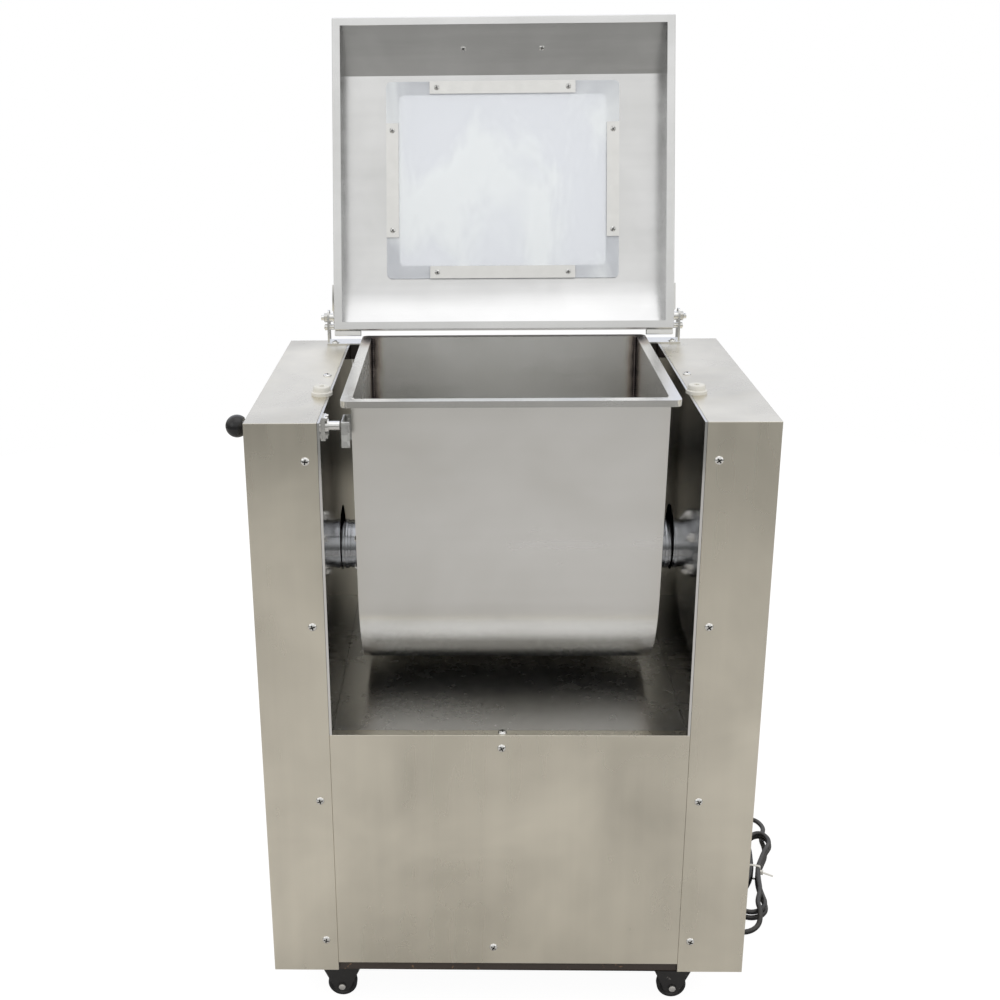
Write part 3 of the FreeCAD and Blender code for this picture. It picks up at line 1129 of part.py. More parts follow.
def caster(side, end, tag):
    """One swivelling caster: top plate on the base, fork with its axle, and wheel."""
    x = f"{side} * caster_across"
    y = f"({end} * (column_depth / 2 - caster_setback))"
    top = block(f"{tag}Top", (f"{x} - 28", f"{x} + 28"), (f"{y} - 28", f"{y} + 28"), ("caster_height - 3", "caster_height"))
    race = rod(f"{tag}Race", "z", "caster_height - 9", "6.01", "14", x=x, y=y)
    fixed = fuse(f"{tag}Fixed", top, race)
    # The fork: a hood of sheet over the wheel, with two legs down to the axle
    leg = "(wheel_width / 2 + 1.5)"
    sheet_thick = "2.5"
    crown = "(caster_height - 9.3)"
    hub_z = "wheel_radius"
    legs = []
    for sign in (-1, 1):
        low = f"{leg}" if sign > 0 else f"-({leg} + {sheet_thick})"
        cheek = plate(f"{tag}Cheek{'Back' if sign > 0 else 'Front'}", "y", (low, f"{low} + {sheet_thick}"), [[
            ("-29", f"{crown} - 1"), ("-27", f"{crown} - 7"), ("-11", f"{hub_z} - 4"), ("-6", f"{hub_z} - 9.5"),
            ("6", f"{hub_z} - 9.5"), ("11", f"{hub_z} - 4"), ("27", f"{crown} - 7"), ("29", f"{crown} - 1")]])
        legs.append(at(cheek, x, f"{y} + {low} + {sheet_thick}", "0"))
    hood = block(f"{tag}Hood", (f"{x} - 29", f"{x} + 29"), (f"{y} - {leg} - {sheet_thick}", f"{y} + {leg} + {sheet_thick}"),
                 (f"{crown} - 3", crown))
    axle_hole = rod(f"{tag}AxleHole", "y", f"{y} - 30", "60", "axle_radius + 0.02", x=x, z=hub_z)
    fork = cut(f"{tag}Fork", fuse(f"{tag}ForkSolid", hood, *legs), axle_hole)
    half = f"({leg} + {sheet_thick})"
    axle = fuse(f"{tag}Axle", rod(f"{tag}Pin", "y", f"{y} - {half}", f"2 * {half}", "axle_radius", x=x, z=hub_z),
                rod(f"{tag}RivetFront", "y", f"{y} - {half} - 2.2", "2.2", "5.2", x=x, z=hub_z),
                rod(f"{tag}RivetBack", "y", f"{y} + {half}", "2.2", "5.2", x=x, z=hub_z))
    w = "(wheel_width / 2)"
    wheel = turned(f"{tag}Wheel", "y", [
        (f"-{w}", "axle_radius + running_fit"), (f"-{w}", "wheel_radius * 0.45"), (f"-{w} + 2", "wheel_radius * 0.5"),
        (f"-{w} + 2", "wheel_radius * 0.72"), (f"-{w} + 1", "wheel_radius - 3"), (f"-{w} + 4", "wheel_radius"),
        (f"{w} - 4", "wheel_radius"), (f"{w} - 1", "wheel_radius - 3"), (f"{w} - 2", "wheel_radius * 0.72"),
        (f"{w} - 2", "wheel_radius * 0.5"), (w, "wheel_radius * 0.45"), (w, "axle_radius + running_fit")])
    return fixed, group(f"{tag}ForkSet", [fork, axle]), at(wheel, x, y, hub_z)


def casters():
    fixed_parts = []
    for side, across in ((-1, "left"), (1, "right")):
        for end, depth in ((-1, "front"), (1, "rear")):
            fixed, fork, wheel = caster(side, end, f"{depth.title()}{across.title()}")
            fixed_parts.append(fixed)
            node(f"caster_fork_{depth}_{across}", fork)
            node(f"caster_wheel_{depth}_{across}", wheel)
    node("caster_tops", group("CasterTops", fixed_parts))


BUTTONS = (("start_button", -32, "button_radius"), ("reverse_button", 4, "button_radius"),
           ("stop_button", 46, "mushroom_radius"))


def switch_box():
    """The switch box on the outer side of the right column, with its three push buttons."""
    low = "(top_height - switch_drop - switch_height)"
    high = "(top_height - switch_drop)"
    half = "(switch_width / 2)"
    middle = "((2 * top_height - 2 * switch_drop - switch_height) / 2)"
    case = rounded("SwitchCase", block("SwitchBlock", (SIDE, f"{SIDE} + switch_depth"), (f"-{half}", half), (low, high)),
                   "6", (9, 10, 11, 12))
    wells = [rod(f"ButtonWell{i}", "x", f"{SIDE} + 6", "switch_depth", "button_radius + 0.4", y="0", z=f"{middle} - {drop}")
             for i, (_, drop, _) in enumerate(BUTTONS)]
    node("switch_box", cut("SwitchBox", case, *wells))
    face = f"({SIDE} + switch_depth)"
    for label, drop, head in BUTTONS:
        tag = label.title().replace("_", "")
        z = f"{middle} - {drop}"
        stem = rod(tag + "Stem", "x", f"{SIDE} + 6 + button_travel + 1",
                   "switch_depth - 6 - button_travel - 1 + button_stand", "button_radius", z=z)
        cap = rod(tag + "Cap", "x", f"{face} + button_travel + 0.5", "button_stand - button_travel + 3", head, z=z)
        node(label, fuse(tag, stem, cap))


def smooth_wire(points):
    """Straight runs joined by tangent arcs through a list of route points; prints the radii."""
    edges = []
    start = points[0]
    radii = []
    for before, corner, after in zip(points, points[1:], points[2:]):
        first, second = corner - before, after - corner
        half = first.getAngle(second) / 2
        setback = 0.45 * min(first.Length, second.Length)
        radius = setback / math.tan(half)
        radii.append(round(radius, 1))
        a = corner - first.normalize() * setback
        b = corner + second.normalize() * setback
        bisector = (second - first).normalize()
        centre = corner + bisector * (radius / math.cos(half))
        middle = centre - bisector * radius
        edges += [Part.LineSegment(start, a).toShape(), Part.Arc(a, middle, b).toShape()]
        start = b
    edges.append(Part.LineSegment(start, points[-1]).toShape())
    print("cord arc radii", radii)
    return Part.Wire(edges)


def lead(name, points):
    """A round tube of the mains lead along a route."""
    wire = smooth_wire(points)
    ring = Part.Wire([Part.makeCircle(number("cord_radius"), points[0], points[1] - points[0])])
    solid = doc.addObject("Part::Feature", name)
    solid.Shape = wire.makePipeShell([ring], True, False)
    expected = math.pi * number("cord_radius") ** 2 * wire.Length
    print(name, "length", round(wire.Length, 1), "volume share", round(solid.Shape.Volume / expected, 4))
    return solid


def cord():
    """The mains lead: gland, free run to the floor, tied hank, and the plug beside it."""
    side, back = number(SIDE), number("gland_setback")
    high, lie = number("gland_height"), number("cord_radius + 0.2")
    gland = turned("Gland", "x", [("0", "cord_radius + 0.3"), ("0", "15"), ("5", "15"), ("5", "11"),
                                  ("14", "11"), ("26", "7"), ("26", "cord_radius + 0.3")])
    node("cord_gland", at(gland, SIDE, "gland_setback", "gland_height"))
    route = [V(side + 2, back, high), V(side + 48, back, high - 2), V(side + 70, back + 4, high - 44),
             V(side + 72, back + 9, high - 102), V(side + 68, back + 15, high - 160),
             V(side + 64, back + 24, high - 218), V(side + 66, back + 36, 36), V(side + 67, back + 64, lie + 6),
             V(side + 74, back + 94, lie), V(side + 94, back + 118, lie), V(side + 122, back + 116, lie + 0.2),
             V(side + 136, back + 90, lie + 1.2), V(side + 120, back + 49, lie + 5)]
    node("cord_lead", at(lead("CordLead", route)))
    centre_x, centre_y = f"({SIDE} + 87)", "(92)"
    wide, waist, lobe_y = "(hank_width / 2)", "(hank_waist / 2)", "(hank_length / 2 - hank_width / 2)"
    low = "1.6"
    turn = (V(0, 0, 1), -number("hank_turn"))
    lobes = [rod(f"HankLobe{i}", "z", "0", "hank_height", wide, y=f"{sign} * {lobe_y}")
             for i, sign in enumerate((-1, 1))]
    shoulder, reach = f"{wide} * 0.95", f"{lobe_y} * 0.9"
    neck = plate("HankNeck", "z", ("0", "hank_height"), [[
        (shoulder, reach), (f"-{shoulder}", reach), (f"-{waist}", "5"), (f"-{waist}", "-5"),
        (f"-{shoulder}", f"-{reach}"), (shoulder, f"-{reach}"), (waist, "-5"), (waist, "5")]])
    node("cord_hank", at(group("Hank", [fuse("HankBody", neck, *lobes)]), centre_x, centre_y, low, turn))
    band = cut("TieBand", block("TieOut", (f"-{waist} - 1.4", f"{waist} + 1.4"), ("-2.4", "2.4"), ("-1.4", "hank_height + 1.4")),
               block("TieIn", (f"-{waist} - 0.2", f"{waist} + 0.2"), ("-3", "3"), ("-0.2", "hank_height + 0.2")))
    lock_head = block("TieHead", (f"{waist} + 1", f"{waist} + 6"), ("-3.6", "3.6"), ("4", "10"))
    tail = block("TieTail", (f"{waist} + 5", f"{waist} + 26"), ("-2.2", "2.2"), ("6.4", "7.6"))
    node("cable_tie", at(group("CableTie", [fuse("TieWhole", band, lock_head, tail)]), centre_x, centre_y, low, turn))
    plug = turned("PlugBody", "y", [
        ("0", "0"), ("0", "18.5"), ("-9", "18.5"), ("-14", "15"), ("-34", "13"), ("-40", "9"),
        ("-62", "cord_radius + 2"), ("-62", "0")])
    at(plug, "0", "0", "0")
    pins = [rod(f"PlugPin{i}", "y", "-1", "20", "2.4", x=x) for i, x in enumerate(("-9.5", "9.5"))]
    whole = group("Plug", [fuse("PlugWhole", plug, *pins)])
    node("plug", at(whole, f"{SIDE} + 4", "114", "18.7"))
    tail = [V(side + 4, 52, 18.7), V(side + 4, 30, 18.7), V(side + 4, 4, 10), V(side + 7, -22, lie + 0.4),
            V(side + 20, -46, lie), V(side + 44, -56, lie), V(side + 67, -47, lie + 4), V(side + 74, -24, lie + 12)]
    node("cord_tail", at(lead("CordTail", tail)))


base_frame()
node("column_towers", group("ColumnTowers", tower(-1) + tower(1)))
column_cover(-1, "left_column_cover")
column_cover(1, "right_column_cover")
inner_panel(-1, "left_inner_panel")
inner_panel(1, "right_inner_panel")
lower_panels()
deck_supports()
tank_shell()
trunnions()
bearings()
mixing_shaft()
mixing_paddles()
drive_chain()
drive()
lid_shell()
lid_handle()
lid_ears()
hinges()
lid_pads()
screws()
casters()
switch_box()
cord()
doc.recompute()

faults = [f"{thing.Name} is {thing.State}" for thing in doc.Objects
          if "Invalid" in thing.State or "Error" in thing.State]
for label, thing in NODES.items():
    shape = thing.Shape
    if shape.isNull() or not shape.isValid() or not shape.Solids:
        faults.append(f"{label} has no valid shape")
if faults:
    raise RuntimeError("; ".join(faults))
for label, thing in NODES.items():
    thing.Shape.exportStep(f"parts/{label}.step")
whole = FreeCAD.BoundBox()
for thing in NODES.values():
    whole.add(thing.Shape.BoundBox)
print(len(NODES), "nodes,", sum(len(t.Shape.Solids) for t in NODES.values()), "solids, box", whole)
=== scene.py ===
"""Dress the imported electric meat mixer: a steel tank that tilts between two sheet-metal columns, under a lid.

The CAD model is the fixed frame. Each sub-assembly is a class that adds what the plain solids lack, such as
soft folds, screw recesses, weld beads and the lead's turns, and each finish is a frozen dataclass. Lengths are
in metres: X runs from the lock column to the drive column, Y to the back and Z up from the floor.
"""

import json
import logging
import math
from collections.abc import Iterable, Sequence
from dataclasses import dataclass, field
from enum import Enum
from typing import Any

import bmesh
import bpy
from mathutils import Matrix, Vector

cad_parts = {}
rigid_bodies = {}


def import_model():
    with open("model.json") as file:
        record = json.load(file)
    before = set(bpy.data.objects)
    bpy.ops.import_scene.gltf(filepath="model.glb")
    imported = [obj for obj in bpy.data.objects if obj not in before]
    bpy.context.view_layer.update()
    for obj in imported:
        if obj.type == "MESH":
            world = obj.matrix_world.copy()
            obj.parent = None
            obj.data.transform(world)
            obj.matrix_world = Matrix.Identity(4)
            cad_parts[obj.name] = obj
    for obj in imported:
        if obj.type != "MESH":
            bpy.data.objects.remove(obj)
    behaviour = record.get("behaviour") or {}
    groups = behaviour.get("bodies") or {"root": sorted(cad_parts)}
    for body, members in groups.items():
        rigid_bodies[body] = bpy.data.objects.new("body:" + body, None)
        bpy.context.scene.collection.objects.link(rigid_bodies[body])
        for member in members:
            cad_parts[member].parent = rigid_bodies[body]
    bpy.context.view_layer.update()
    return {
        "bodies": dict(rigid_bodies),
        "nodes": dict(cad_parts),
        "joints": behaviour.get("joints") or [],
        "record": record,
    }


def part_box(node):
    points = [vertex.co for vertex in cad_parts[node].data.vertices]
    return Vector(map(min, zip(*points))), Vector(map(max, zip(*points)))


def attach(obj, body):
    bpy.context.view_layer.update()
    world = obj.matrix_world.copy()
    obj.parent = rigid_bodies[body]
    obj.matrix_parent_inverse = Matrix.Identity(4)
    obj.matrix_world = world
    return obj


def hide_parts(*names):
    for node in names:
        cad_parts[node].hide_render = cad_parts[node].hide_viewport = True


LOG = logging.getLogger("meat_mixer")

Point = tuple[float, float, float]
Colour = tuple[float, float, float]

# The mixing shaft runs along X at this depth and height, in the middle of the columns.
MIDDLE = -0.078
SHAFT_HEIGHT = 0.632

MERGE_DISTANCE = 1e-6
FLAT_ANGLE = 0.012
FOLD_ANGLE = math.radians(22)
SHARP_ANGLE = math.radians(32)
WHITE = (1.0, 1.0, 1.0)

# How far the clouds, the rolling lines and the painted shade on upward faces of sheet steel swing its tone.
CLOUD_SWING, STREAK_SWING, TOP_SHADE_SWING = 8.0, 5.0, 3.0

# Temper colours from the cool edge of a weld's tint to the seam itself.
HEAT_COLOURS = ((0.0, (0.62, 0.55, 0.40)), (0.45, (0.34, 0.21, 0.11)), (0.7, (0.13, 0.075, 0.05)),
                (1.0, (0.06, 0.05, 0.05)))
# Painted shade for the inside of screw recesses, then the colour of dust.
RECESS_SHADE = (0.05, 0.05, 0.05)
DUST = (0.52, 0.49, 0.44)


class Body(Enum):
    """The CAD bodies that added pieces ride on."""

    FRAME = "frame"
    TANK = "tank"
    SHAFT = "shaft"


class Slot(Enum):
    """The record's material slots."""

    BRUSHED_COVER = "brushed_cover"
    POLISHED_PANEL = "polished_panel"
    SATIN_TANK = "satin_tank"
    LID_STEEL = "lid_steel"
    CLEAR_PANE = "clear_pane"
    BRIGHT_FITTINGS = "bright_fittings"
    GALVANISED = "galvanised"
    DARK_FRAME = "dark_frame"
    CASTER_BLACK = "caster_black"
    WHEEL_BLACK = "wheel_black"
    KNOB_BLACK = "knob_black"
    NYLON_WHITE = "nylon_white"
    CORD_BLACK = "cord_black"
    SWITCH_GRAY = "switch_gray"
    BUTTON_GREEN = "button_green"
    BUTTON_BLACK = "button_black"
    BUTTON_RED = "button_red"
    BUSH_PLASTIC = "bush_plastic"
    HOUSING_IRON = "housing_iron"
    GEAR_PAINT = "gear_paint"
    CHAIN_STEEL = "chain_steel"
    MACHINED_STEEL = "machined_steel"


def added(name: str, data: bpy.types.ID) -> bpy.types.Object:
    """A new object in the scene, at the origin."""
    thing = bpy.data.objects.new(name, data)
    bpy.context.scene.collection.objects.link(thing)
    return thing


# ---------------------------------------------------------------- node trees


class Value:
    """A node's output that takes part in Python arithmetic and adds a Math node for each operator."""

    def __init__(self, nodes: "Nodes", socket: bpy.types.NodeSocket) -> None:
        """Keep the output socket and the tree it belongs to."""
        self.nodes = nodes
        self.socket = socket

    def _math(self, operation: str, first: Any, second: Any) -> "Value":
        """Add one Math node.

        Args:
            operation: Blender's name of the operation.
            first: A number or a value.
            second: A number or a value.

        Returns:
            The node's result.
        """
        return self.nodes.output("ShaderNodeMath", {"operation": operation}, {0: first, 1: second})

    def __add__(self, other: Any) -> "Value":
        """Sum."""
        return self._math("ADD", self, other)

    __radd__ = __add__

    def __sub__(self, other: Any) -> "Value":
        """Difference."""
        return self._math("SUBTRACT", self, other)

    def __rsub__(self, other: Any) -> "Value":
        """Difference from a number."""
        return self._math("SUBTRACT", other, self)

    def __mul__(self, other: Any) -> "Value":
        """Product."""
        return self._math("MULTIPLY", self, other)

    __rmul__ = __mul__

    def __abs__(self) -> "Value":
        """Size without sign."""
        return self._math("ABSOLUTE", self, 0.0)

    def larger(self, other: Any) -> "Value":
        """The larger of two values."""
        return self._math("MAXIMUM", self, other)

    def smaller(self, other: Any) -> "Value":
        """The smaller of two values."""
        return self._math("MINIMUM", self, other)


class Nodes:
    """Adds nodes to one node tree and feeds their sockets."""

    def __init__(self, tree: bpy.types.NodeTree) -> None:
        """Keep the tree."""
        self.tree = tree

    @staticmethod
    def _socket(sockets: Any, key: int | str) -> bpy.types.NodeSocket:
        """A socket by its number, or the first live one of that name."""
        if isinstance(key, int):
            return sockets[key]
        return next(socket for socket in sockets if socket.name == key and socket.enabled)

    def feed(self, socket: bpy.types.NodeSocket, value: Any) -> None:
        """Link a value to a socket, or set a number, colour, text or object on it.

        Args:
            socket: The input.
            value: A value, several of them for a socket that takes several links, or a plain setting.
        """
        if isinstance(value, Value):
            self.tree.links.new(value.socket, socket)
        elif isinstance(value, list):
            for each in value:
                self.feed(socket, each)
        elif socket.type == "RGBA" and len(value) == 3:
            socket.default_value = (*value, 1.0)
        else:
            socket.default_value = value

    def add(self, kind: str, settings: dict[str, Any] | None = None,
            inputs: dict[int | str, Any] | None = None) -> bpy.types.Node:
        """Add one node.

        Args:
            kind: The node's type.
            settings: Its properties; "stops" holds a ramp's places and colours.
            inputs: What each socket gets, by name or number.

        Returns:
            The node.
        """
        node = self.tree.nodes.new(kind)
        for name, value in (settings or {}).items():
            if name == "stops":
                self._set_stops(node.color_ramp, value)
            else:
                setattr(node, name, value)
        for key, value in (inputs or {}).items():
            self.feed(self._socket(node.inputs, key), value)
        return node

    @staticmethod
    def _set_stops(ramp: bpy.types.ColorRamp, stops: Sequence[tuple[float, Colour]]) -> None:
        """Give a ramp its places and colours."""
        while len(ramp.elements) < len(stops):
            ramp.elements.new(1.0)
        for element, (place, colour) in zip(ramp.elements, stops):
            element.position = place
            element.color = (*colour, 1.0)

    def output(self, kind: str, settings: dict[str, Any] | None = None,
               inputs: dict[int | str, Any] | None = None, name: int | str = 0) -> Value:
        """Add one node and return one of its outputs.

        Args:
            kind: The node's type.
            settings: Its properties.
            inputs: What each socket gets.
            name: The output's name or number.

        Returns:
            That output.
        """
        node = self.add(kind, settings, inputs)
        return Value(self, self._socket(node.outputs, name))

    def part(self, vector: Value, axis: str) -> Value:
        """X, Y or Z of a vector."""
        return self.output("ShaderNodeSeparateXYZ", inputs={0: vector}, name=axis)

    def between(self, value: Value, low: float, high: float) -> Value:
        """Zero below low, one above high and smooth in between; low may be the larger."""
        return self.output("ShaderNodeMapRange", {"interpolation_type": "SMOOTHSTEP"},
                           {"Value": value, "From Min": low, "From Max": high})

    def blend(self, share: Any, first: Any, second: Any) -> Value:
        """Two colours mixed by a share of the second."""
        return self.output("ShaderNodeMix", {"data_type": "RGBA"}, {"Factor": share, "A": first, "B": second},
                           name="Result")


class Shader(Nodes):
    """Builds the node tree of one material."""

    def __init__(self, name: str) -> None:
        """Start an empty material whose patterns sit on the piece's own coordinates."""
        self.material = bpy.data.materials.new(name)
        self.material.use_nodes = True
        super().__init__(self.material.node_tree)
        self.tree.nodes.clear()
        self.place = self.output("ShaderNodeTexCoord", name="Object")

    def along(self, axis: str) -> Value:
        """The place along X, Y or Z."""
        return self.part(self.place, axis)

    def up(self) -> Value:
        """How far the surface faces upward, from minus one to one."""
        return self.part(self.output("ShaderNodeNewGeometry", name="Normal"), "Z")

    def stretched(self, scale: Point, turn: Point = (0, 0, 0)) -> Value:
        """The place scaled and turned by a Mapping node."""
        return self.output("ShaderNodeMapping", inputs={0: self.place, "Rotation": turn, "Scale": scale})

    def noise(self, scale: float, detail: float = 2.0, bend: float = 0.0, at: Value | None = None) -> Value:
        """Smooth noise about one half.

        Args:
            scale: Patches per metre.
            detail: Octaves.
            bend: How far the pattern is dragged about.
            at: The coordinates, if not the place itself.

        Returns:
            The noise.
        """
        return self.output("ShaderNodeTexNoise", inputs={"Vector": at or self.place, "Scale": scale, "Detail": detail,
                                                         "Roughness": 0.5, "Distortion": bend})

    def bump(self, height: Value, distance: float, under: Value | None = None) -> Value:
        """A normal from a height in units of the distance, over another normal if given."""
        inputs: dict[int | str, Any] = {"Height": height, "Distance": distance}
        if under is not None:
            inputs["Normal"] = under
        return self.output("ShaderNodeBump", inputs=inputs)

    def finish(self, sockets: dict[int | str, Any]) -> bpy.types.Material:
        """End the material in a Principled shader.

        Args:
            sockets: What its sockets get.

        Returns:
            The material.
        """
        skin = self.output("ShaderNodeBsdfPrincipled", inputs=sockets)
        self.add("ShaderNodeOutputMaterial", inputs={"Surface": skin})
        return self.material


class Recipe(Nodes):
    """A Geometry Nodes tree with named inputs that makes pieces which repeat or follow a line."""

    def __init__(self, name: str, **sizes: float) -> None:
        """Start a tree.

        Args:
            name: The tree's name.
            sizes: Its inputs' names, with underscores for spaces, and their first values.
        """
        tree = bpy.data.node_groups.new(name, "GeometryNodeTree")
        super().__init__(tree)
        tree.interface.new_socket("Geometry", in_out="INPUT", socket_type="NodeSocketGeometry")
        self.names: dict[str, str] = {}
        for key, size in sizes.items():
            socket = tree.interface.new_socket(key.replace("_", " ").title(), in_out="INPUT",
                                               socket_type="NodeSocketFloat")
            socket.default_value = size
            self.names[key] = socket.identifier
        coat = tree.interface.new_socket("Material", in_out="INPUT", socket_type="NodeSocketMaterial")
        self.names["material"] = coat.identifier
        tree.interface.new_socket("Geometry", in_out="OUTPUT", socket_type="NodeSocketGeometry")
        self.inlet = tree.nodes.new("NodeGroupInput")

    def given(self, key: str) -> Value:
        """One of the tree's inputs."""
        return Value(self, next(s for s in self.inlet.outputs if s.identifier == self.names[key]))

    def source(self) -> Value:
        """The geometry that the tree starts from."""
        return Value(self, self.inlet.outputs[0])

    def vector(self, x: Any = 0.0, y: Any = 0.0, z: Any = 0.0) -> Value:
        """Three values as one vector."""
        return self.output("ShaderNodeCombineXYZ", inputs={0: x, 1: y, 2: z})

    def moved(self, shape: Value, by: Value | Point = (0, 0, 0), scale: Value | Point = (1, 1, 1)) -> Value:
        """A shape scaled and moved."""
        return self.output("GeometryNodeTransform", inputs={"Geometry": shape, "Translation": by, "Scale": scale})

    def ball(self, segments: int, rings: int) -> Value:
        """A sphere of radius one."""
        return self.output("GeometryNodeMeshUVSphere", inputs={"Segments": segments, "Rings": rings, "Radius": 1.0})

    def without(self, shape: Value, *tools: Value) -> Value:
        """A shape with others cut out of it."""
        return self.output("GeometryNodeMeshBoolean", {"operation": "DIFFERENCE", "solver": "EXACT"},
                           {"Mesh 1": shape, "Mesh 2": list(tools)})

    def spread(self, points: Value, shape: Value, turn: Value) -> Value:
        """A shape put on each point."""
        return self.output("GeometryNodeInstanceOnPoints",
                           inputs={"Points": points, "Instance": shape, "Rotation": turn})

    def close(self, shape: Value, smooth: bool = True) -> None:
        """End the tree: real meshes, their shading and their material."""
        real = self.output("GeometryNodeRealizeInstances", inputs={0: shape})
        shaded = self.output("GeometryNodeSetShadeSmooth", inputs={"Geometry": real, "Shade Smooth": smooth})
        self.add("NodeGroupOutput", inputs={0: self.output(
            "GeometryNodeSetMaterial", inputs={"Geometry": shaded, "Material": self.given("material")})})

    def run(self, mesh: bpy.types.Mesh, material: bpy.types.Material, **sizes: float) -> bpy.types.Mesh:
        """Run the tree on a mesh.

        Args:
            mesh: Points or lines in the row frame.
            material: The finish.
            sizes: Values for the tree's named inputs.

        Returns:
            The finished plain mesh.
        """
        carrier = added("carrier", mesh)
        modifier = carrier.modifiers.new("recipe", "NODES")
        modifier.node_group = self.tree
        modifier[self.names["material"]] = material
        for key, size in sizes.items():
            modifier[self.names[key]] = size
        graph = bpy.context.evaluated_depsgraph_get()
        made = bpy.data.meshes.new_from_object(carrier.evaluated_get(graph), depsgraph=graph)
        bpy.data.objects.remove(carrier)
        return made


# ---------------------------------------------------------------- finishes


@dataclass(frozen=True)
class Finish:
    """A surface finish.

    Attributes:
        colour: The mean colour.
        roughness: The mean roughness.
    """

    colour: Colour
    roughness: float

    def shades(self, spread: float = 0.3) -> tuple[Colour, Colour]:
        """The colour darkened and lightened by a share."""
        dark = tuple(c * (1 - spread) for c in self.colour)
        light = tuple(min(1.0, c * (1 + spread)) for c in self.colour)
        return dark, light

    def make(self, name: str) -> bpy.types.Material:
        """Build the material."""
        raise NotImplementedError


@dataclass(frozen=True)
class SheetSteel(Finish):
    """Stainless sheet as rolled, folded and wiped by hand.

    Attributes:
        cloud: How much its tone wanders.
        cloud_size: The size of those clouds.
        streak: How much the rolling lines show.
        rolling: Noise scale of the rolling lines along each axis.
        line_depth: Depth of those lines.
        wobble: Depth of the sheet's unevenness.
        wipes: Wiped patches per metre.
        smudge: Roughness that wiping leaves.
        scuff_and_shade: Roughness that wear adds on upward faces, and how far painted shade darkens them.
        cloud_gloss: How far the clouds swing the roughness.
        line_gloss: How far the rolling lines swing it.
    """

    cloud: float = 0.10
    cloud_size: float = 0.20
    streak: float = 0.04
    rolling: Point = (60.0, 60.0, 2.0)
    line_depth: float = 0.000012
    wobble: float = 0.0003
    wipes: float = 7.0
    smudge: float = 0.07
    scuff_and_shade: float = 0.0
    cloud_gloss: float = 0.10
    line_gloss: float = 0.08

    def paint(self, shader: Shader, tone: Value) -> Value:
        """The colour for a tone between the dark and the light shade."""
        dark, light = self.shades()
        return shader.blend(tone, dark, light)

    def make(self, name: str) -> bpy.types.Material:
        """Build the material."""
        shader = Shader(name)
        cloud = shader.noise(1 / self.cloud_size, detail=3.0, bend=0.4)
        lines = shader.noise(1.0, detail=4.0, at=shader.stretched(self.rolling))
        wiped = shader.between(shader.noise(self.wipes, detail=3.0, bend=0.8), 0.45, 0.75)
        # Upward faces are rougher from wear and darker in tone; the darkening is painted shade.
        worn_and_shaded = shader.between(shader.up(), 0.5, 0.95) * self.scuff_and_shade
        tone = ((cloud - 0.5) * (CLOUD_SWING * self.cloud) + (lines - 0.5) * (STREAK_SWING * self.streak) + 0.5
                - worn_and_shaded * TOP_SHADE_SWING)
        roughness = ((cloud - 0.5) * self.cloud_gloss + wiped * self.smudge + (lines - 0.5) * self.line_gloss + worn_and_shaded
                     + self.roughness)
        uneven = shader.bump(shader.noise(0.8 / self.cloud_size, detail=1.0, bend=0.3), self.wobble)
        lined = shader.bump(lines, self.line_depth, under=uneven)
        return shader.finish({"Base Color": self.paint(shader, tone), "Metallic": 1.0, "Roughness": roughness,
                              "Normal": lined})


@dataclass(frozen=True)
class WeldedSteel(SheetSteel):
    """Sheet steel that the torch has tinted along the seams of the tank's end plates.

    Attributes:
        seam: Distance of the seams from the machine's middle.
        reach: How far the tint runs.
        ragged: How far its edge wanders.
        back: Where along Y it grows to its full strength.
        low: Between which heights it grows towards the bowl.
        low_share: Its strength there.
        least: Its strength elsewhere.
    """

    seam: float = 0.2015
    reach: float = 0.022
    ragged: float = 0.012
    back: tuple[float, float] = (MIDDLE + 0.10, MIDDLE + 0.17)
    low: tuple[float, float] = (0.56, 0.49)
    low_share: float = 0.35
    least: float = 0.05

    def paint(self, shader: Shader, tone: Value) -> Value:
        """The steel's colour, straw and brown near the seams."""
        bare = super().paint(shader, tone)
        off = abs(abs(shader.along("X")) - self.seam)
        back = shader.between(shader.along("Y"), *self.back)
        low = shader.between(shader.along("Z"), *self.low)
        ragged = shader.noise(45.0, detail=3.0) * self.ragged - self.ragged / 2
        strength = (back + low * self.low_share + self.least).smaller(1.0)
        near = shader.between(off + ragged, self.reach, 0.001) * strength
        return shader.blend(near, bare, shader.output("ShaderNodeValToRGB", {"stops": HEAT_COLOURS}, {0: near}))


@dataclass(frozen=True)
class TurnedSteel(Finish):
    """Steel turned about the machine's cross axis and left with its cutting lines.

    Attributes:
        stain: Colour of the dark patches that oil and scale leave.
        stained: The share of them.
        cuts: Noise scale of the cutting lines along each axis.
        cut_depth: Their depth.
    """

    stain: Colour = (0.10, 0.085, 0.07)
    stained: float = 0.4
    cuts: Point = (1400.0, 9.0, 9.0)
    cut_depth: float = 0.00002

    def make(self, name: str) -> bpy.types.Material:
        """Build the material."""
        shader = Shader(name)
        lines = shader.noise(1.0, detail=2.0, at=shader.stretched(self.cuts))
        patches = shader.between(shader.noise(34.0, detail=5.0, bend=0.8), 0.62 - 0.3 * self.stained, 0.72)
        dark, light = self.shades(0.25)
        clean = shader.blend(lines, dark, light)
        return shader.finish({"Base Color": shader.blend(patches, clean, self.stain), "Metallic": 1.0,
                              "Roughness": patches * 0.2 + (lines - 0.5) * 0.12 + self.roughness,
                              "Normal": shader.bump(lines, self.cut_depth)})


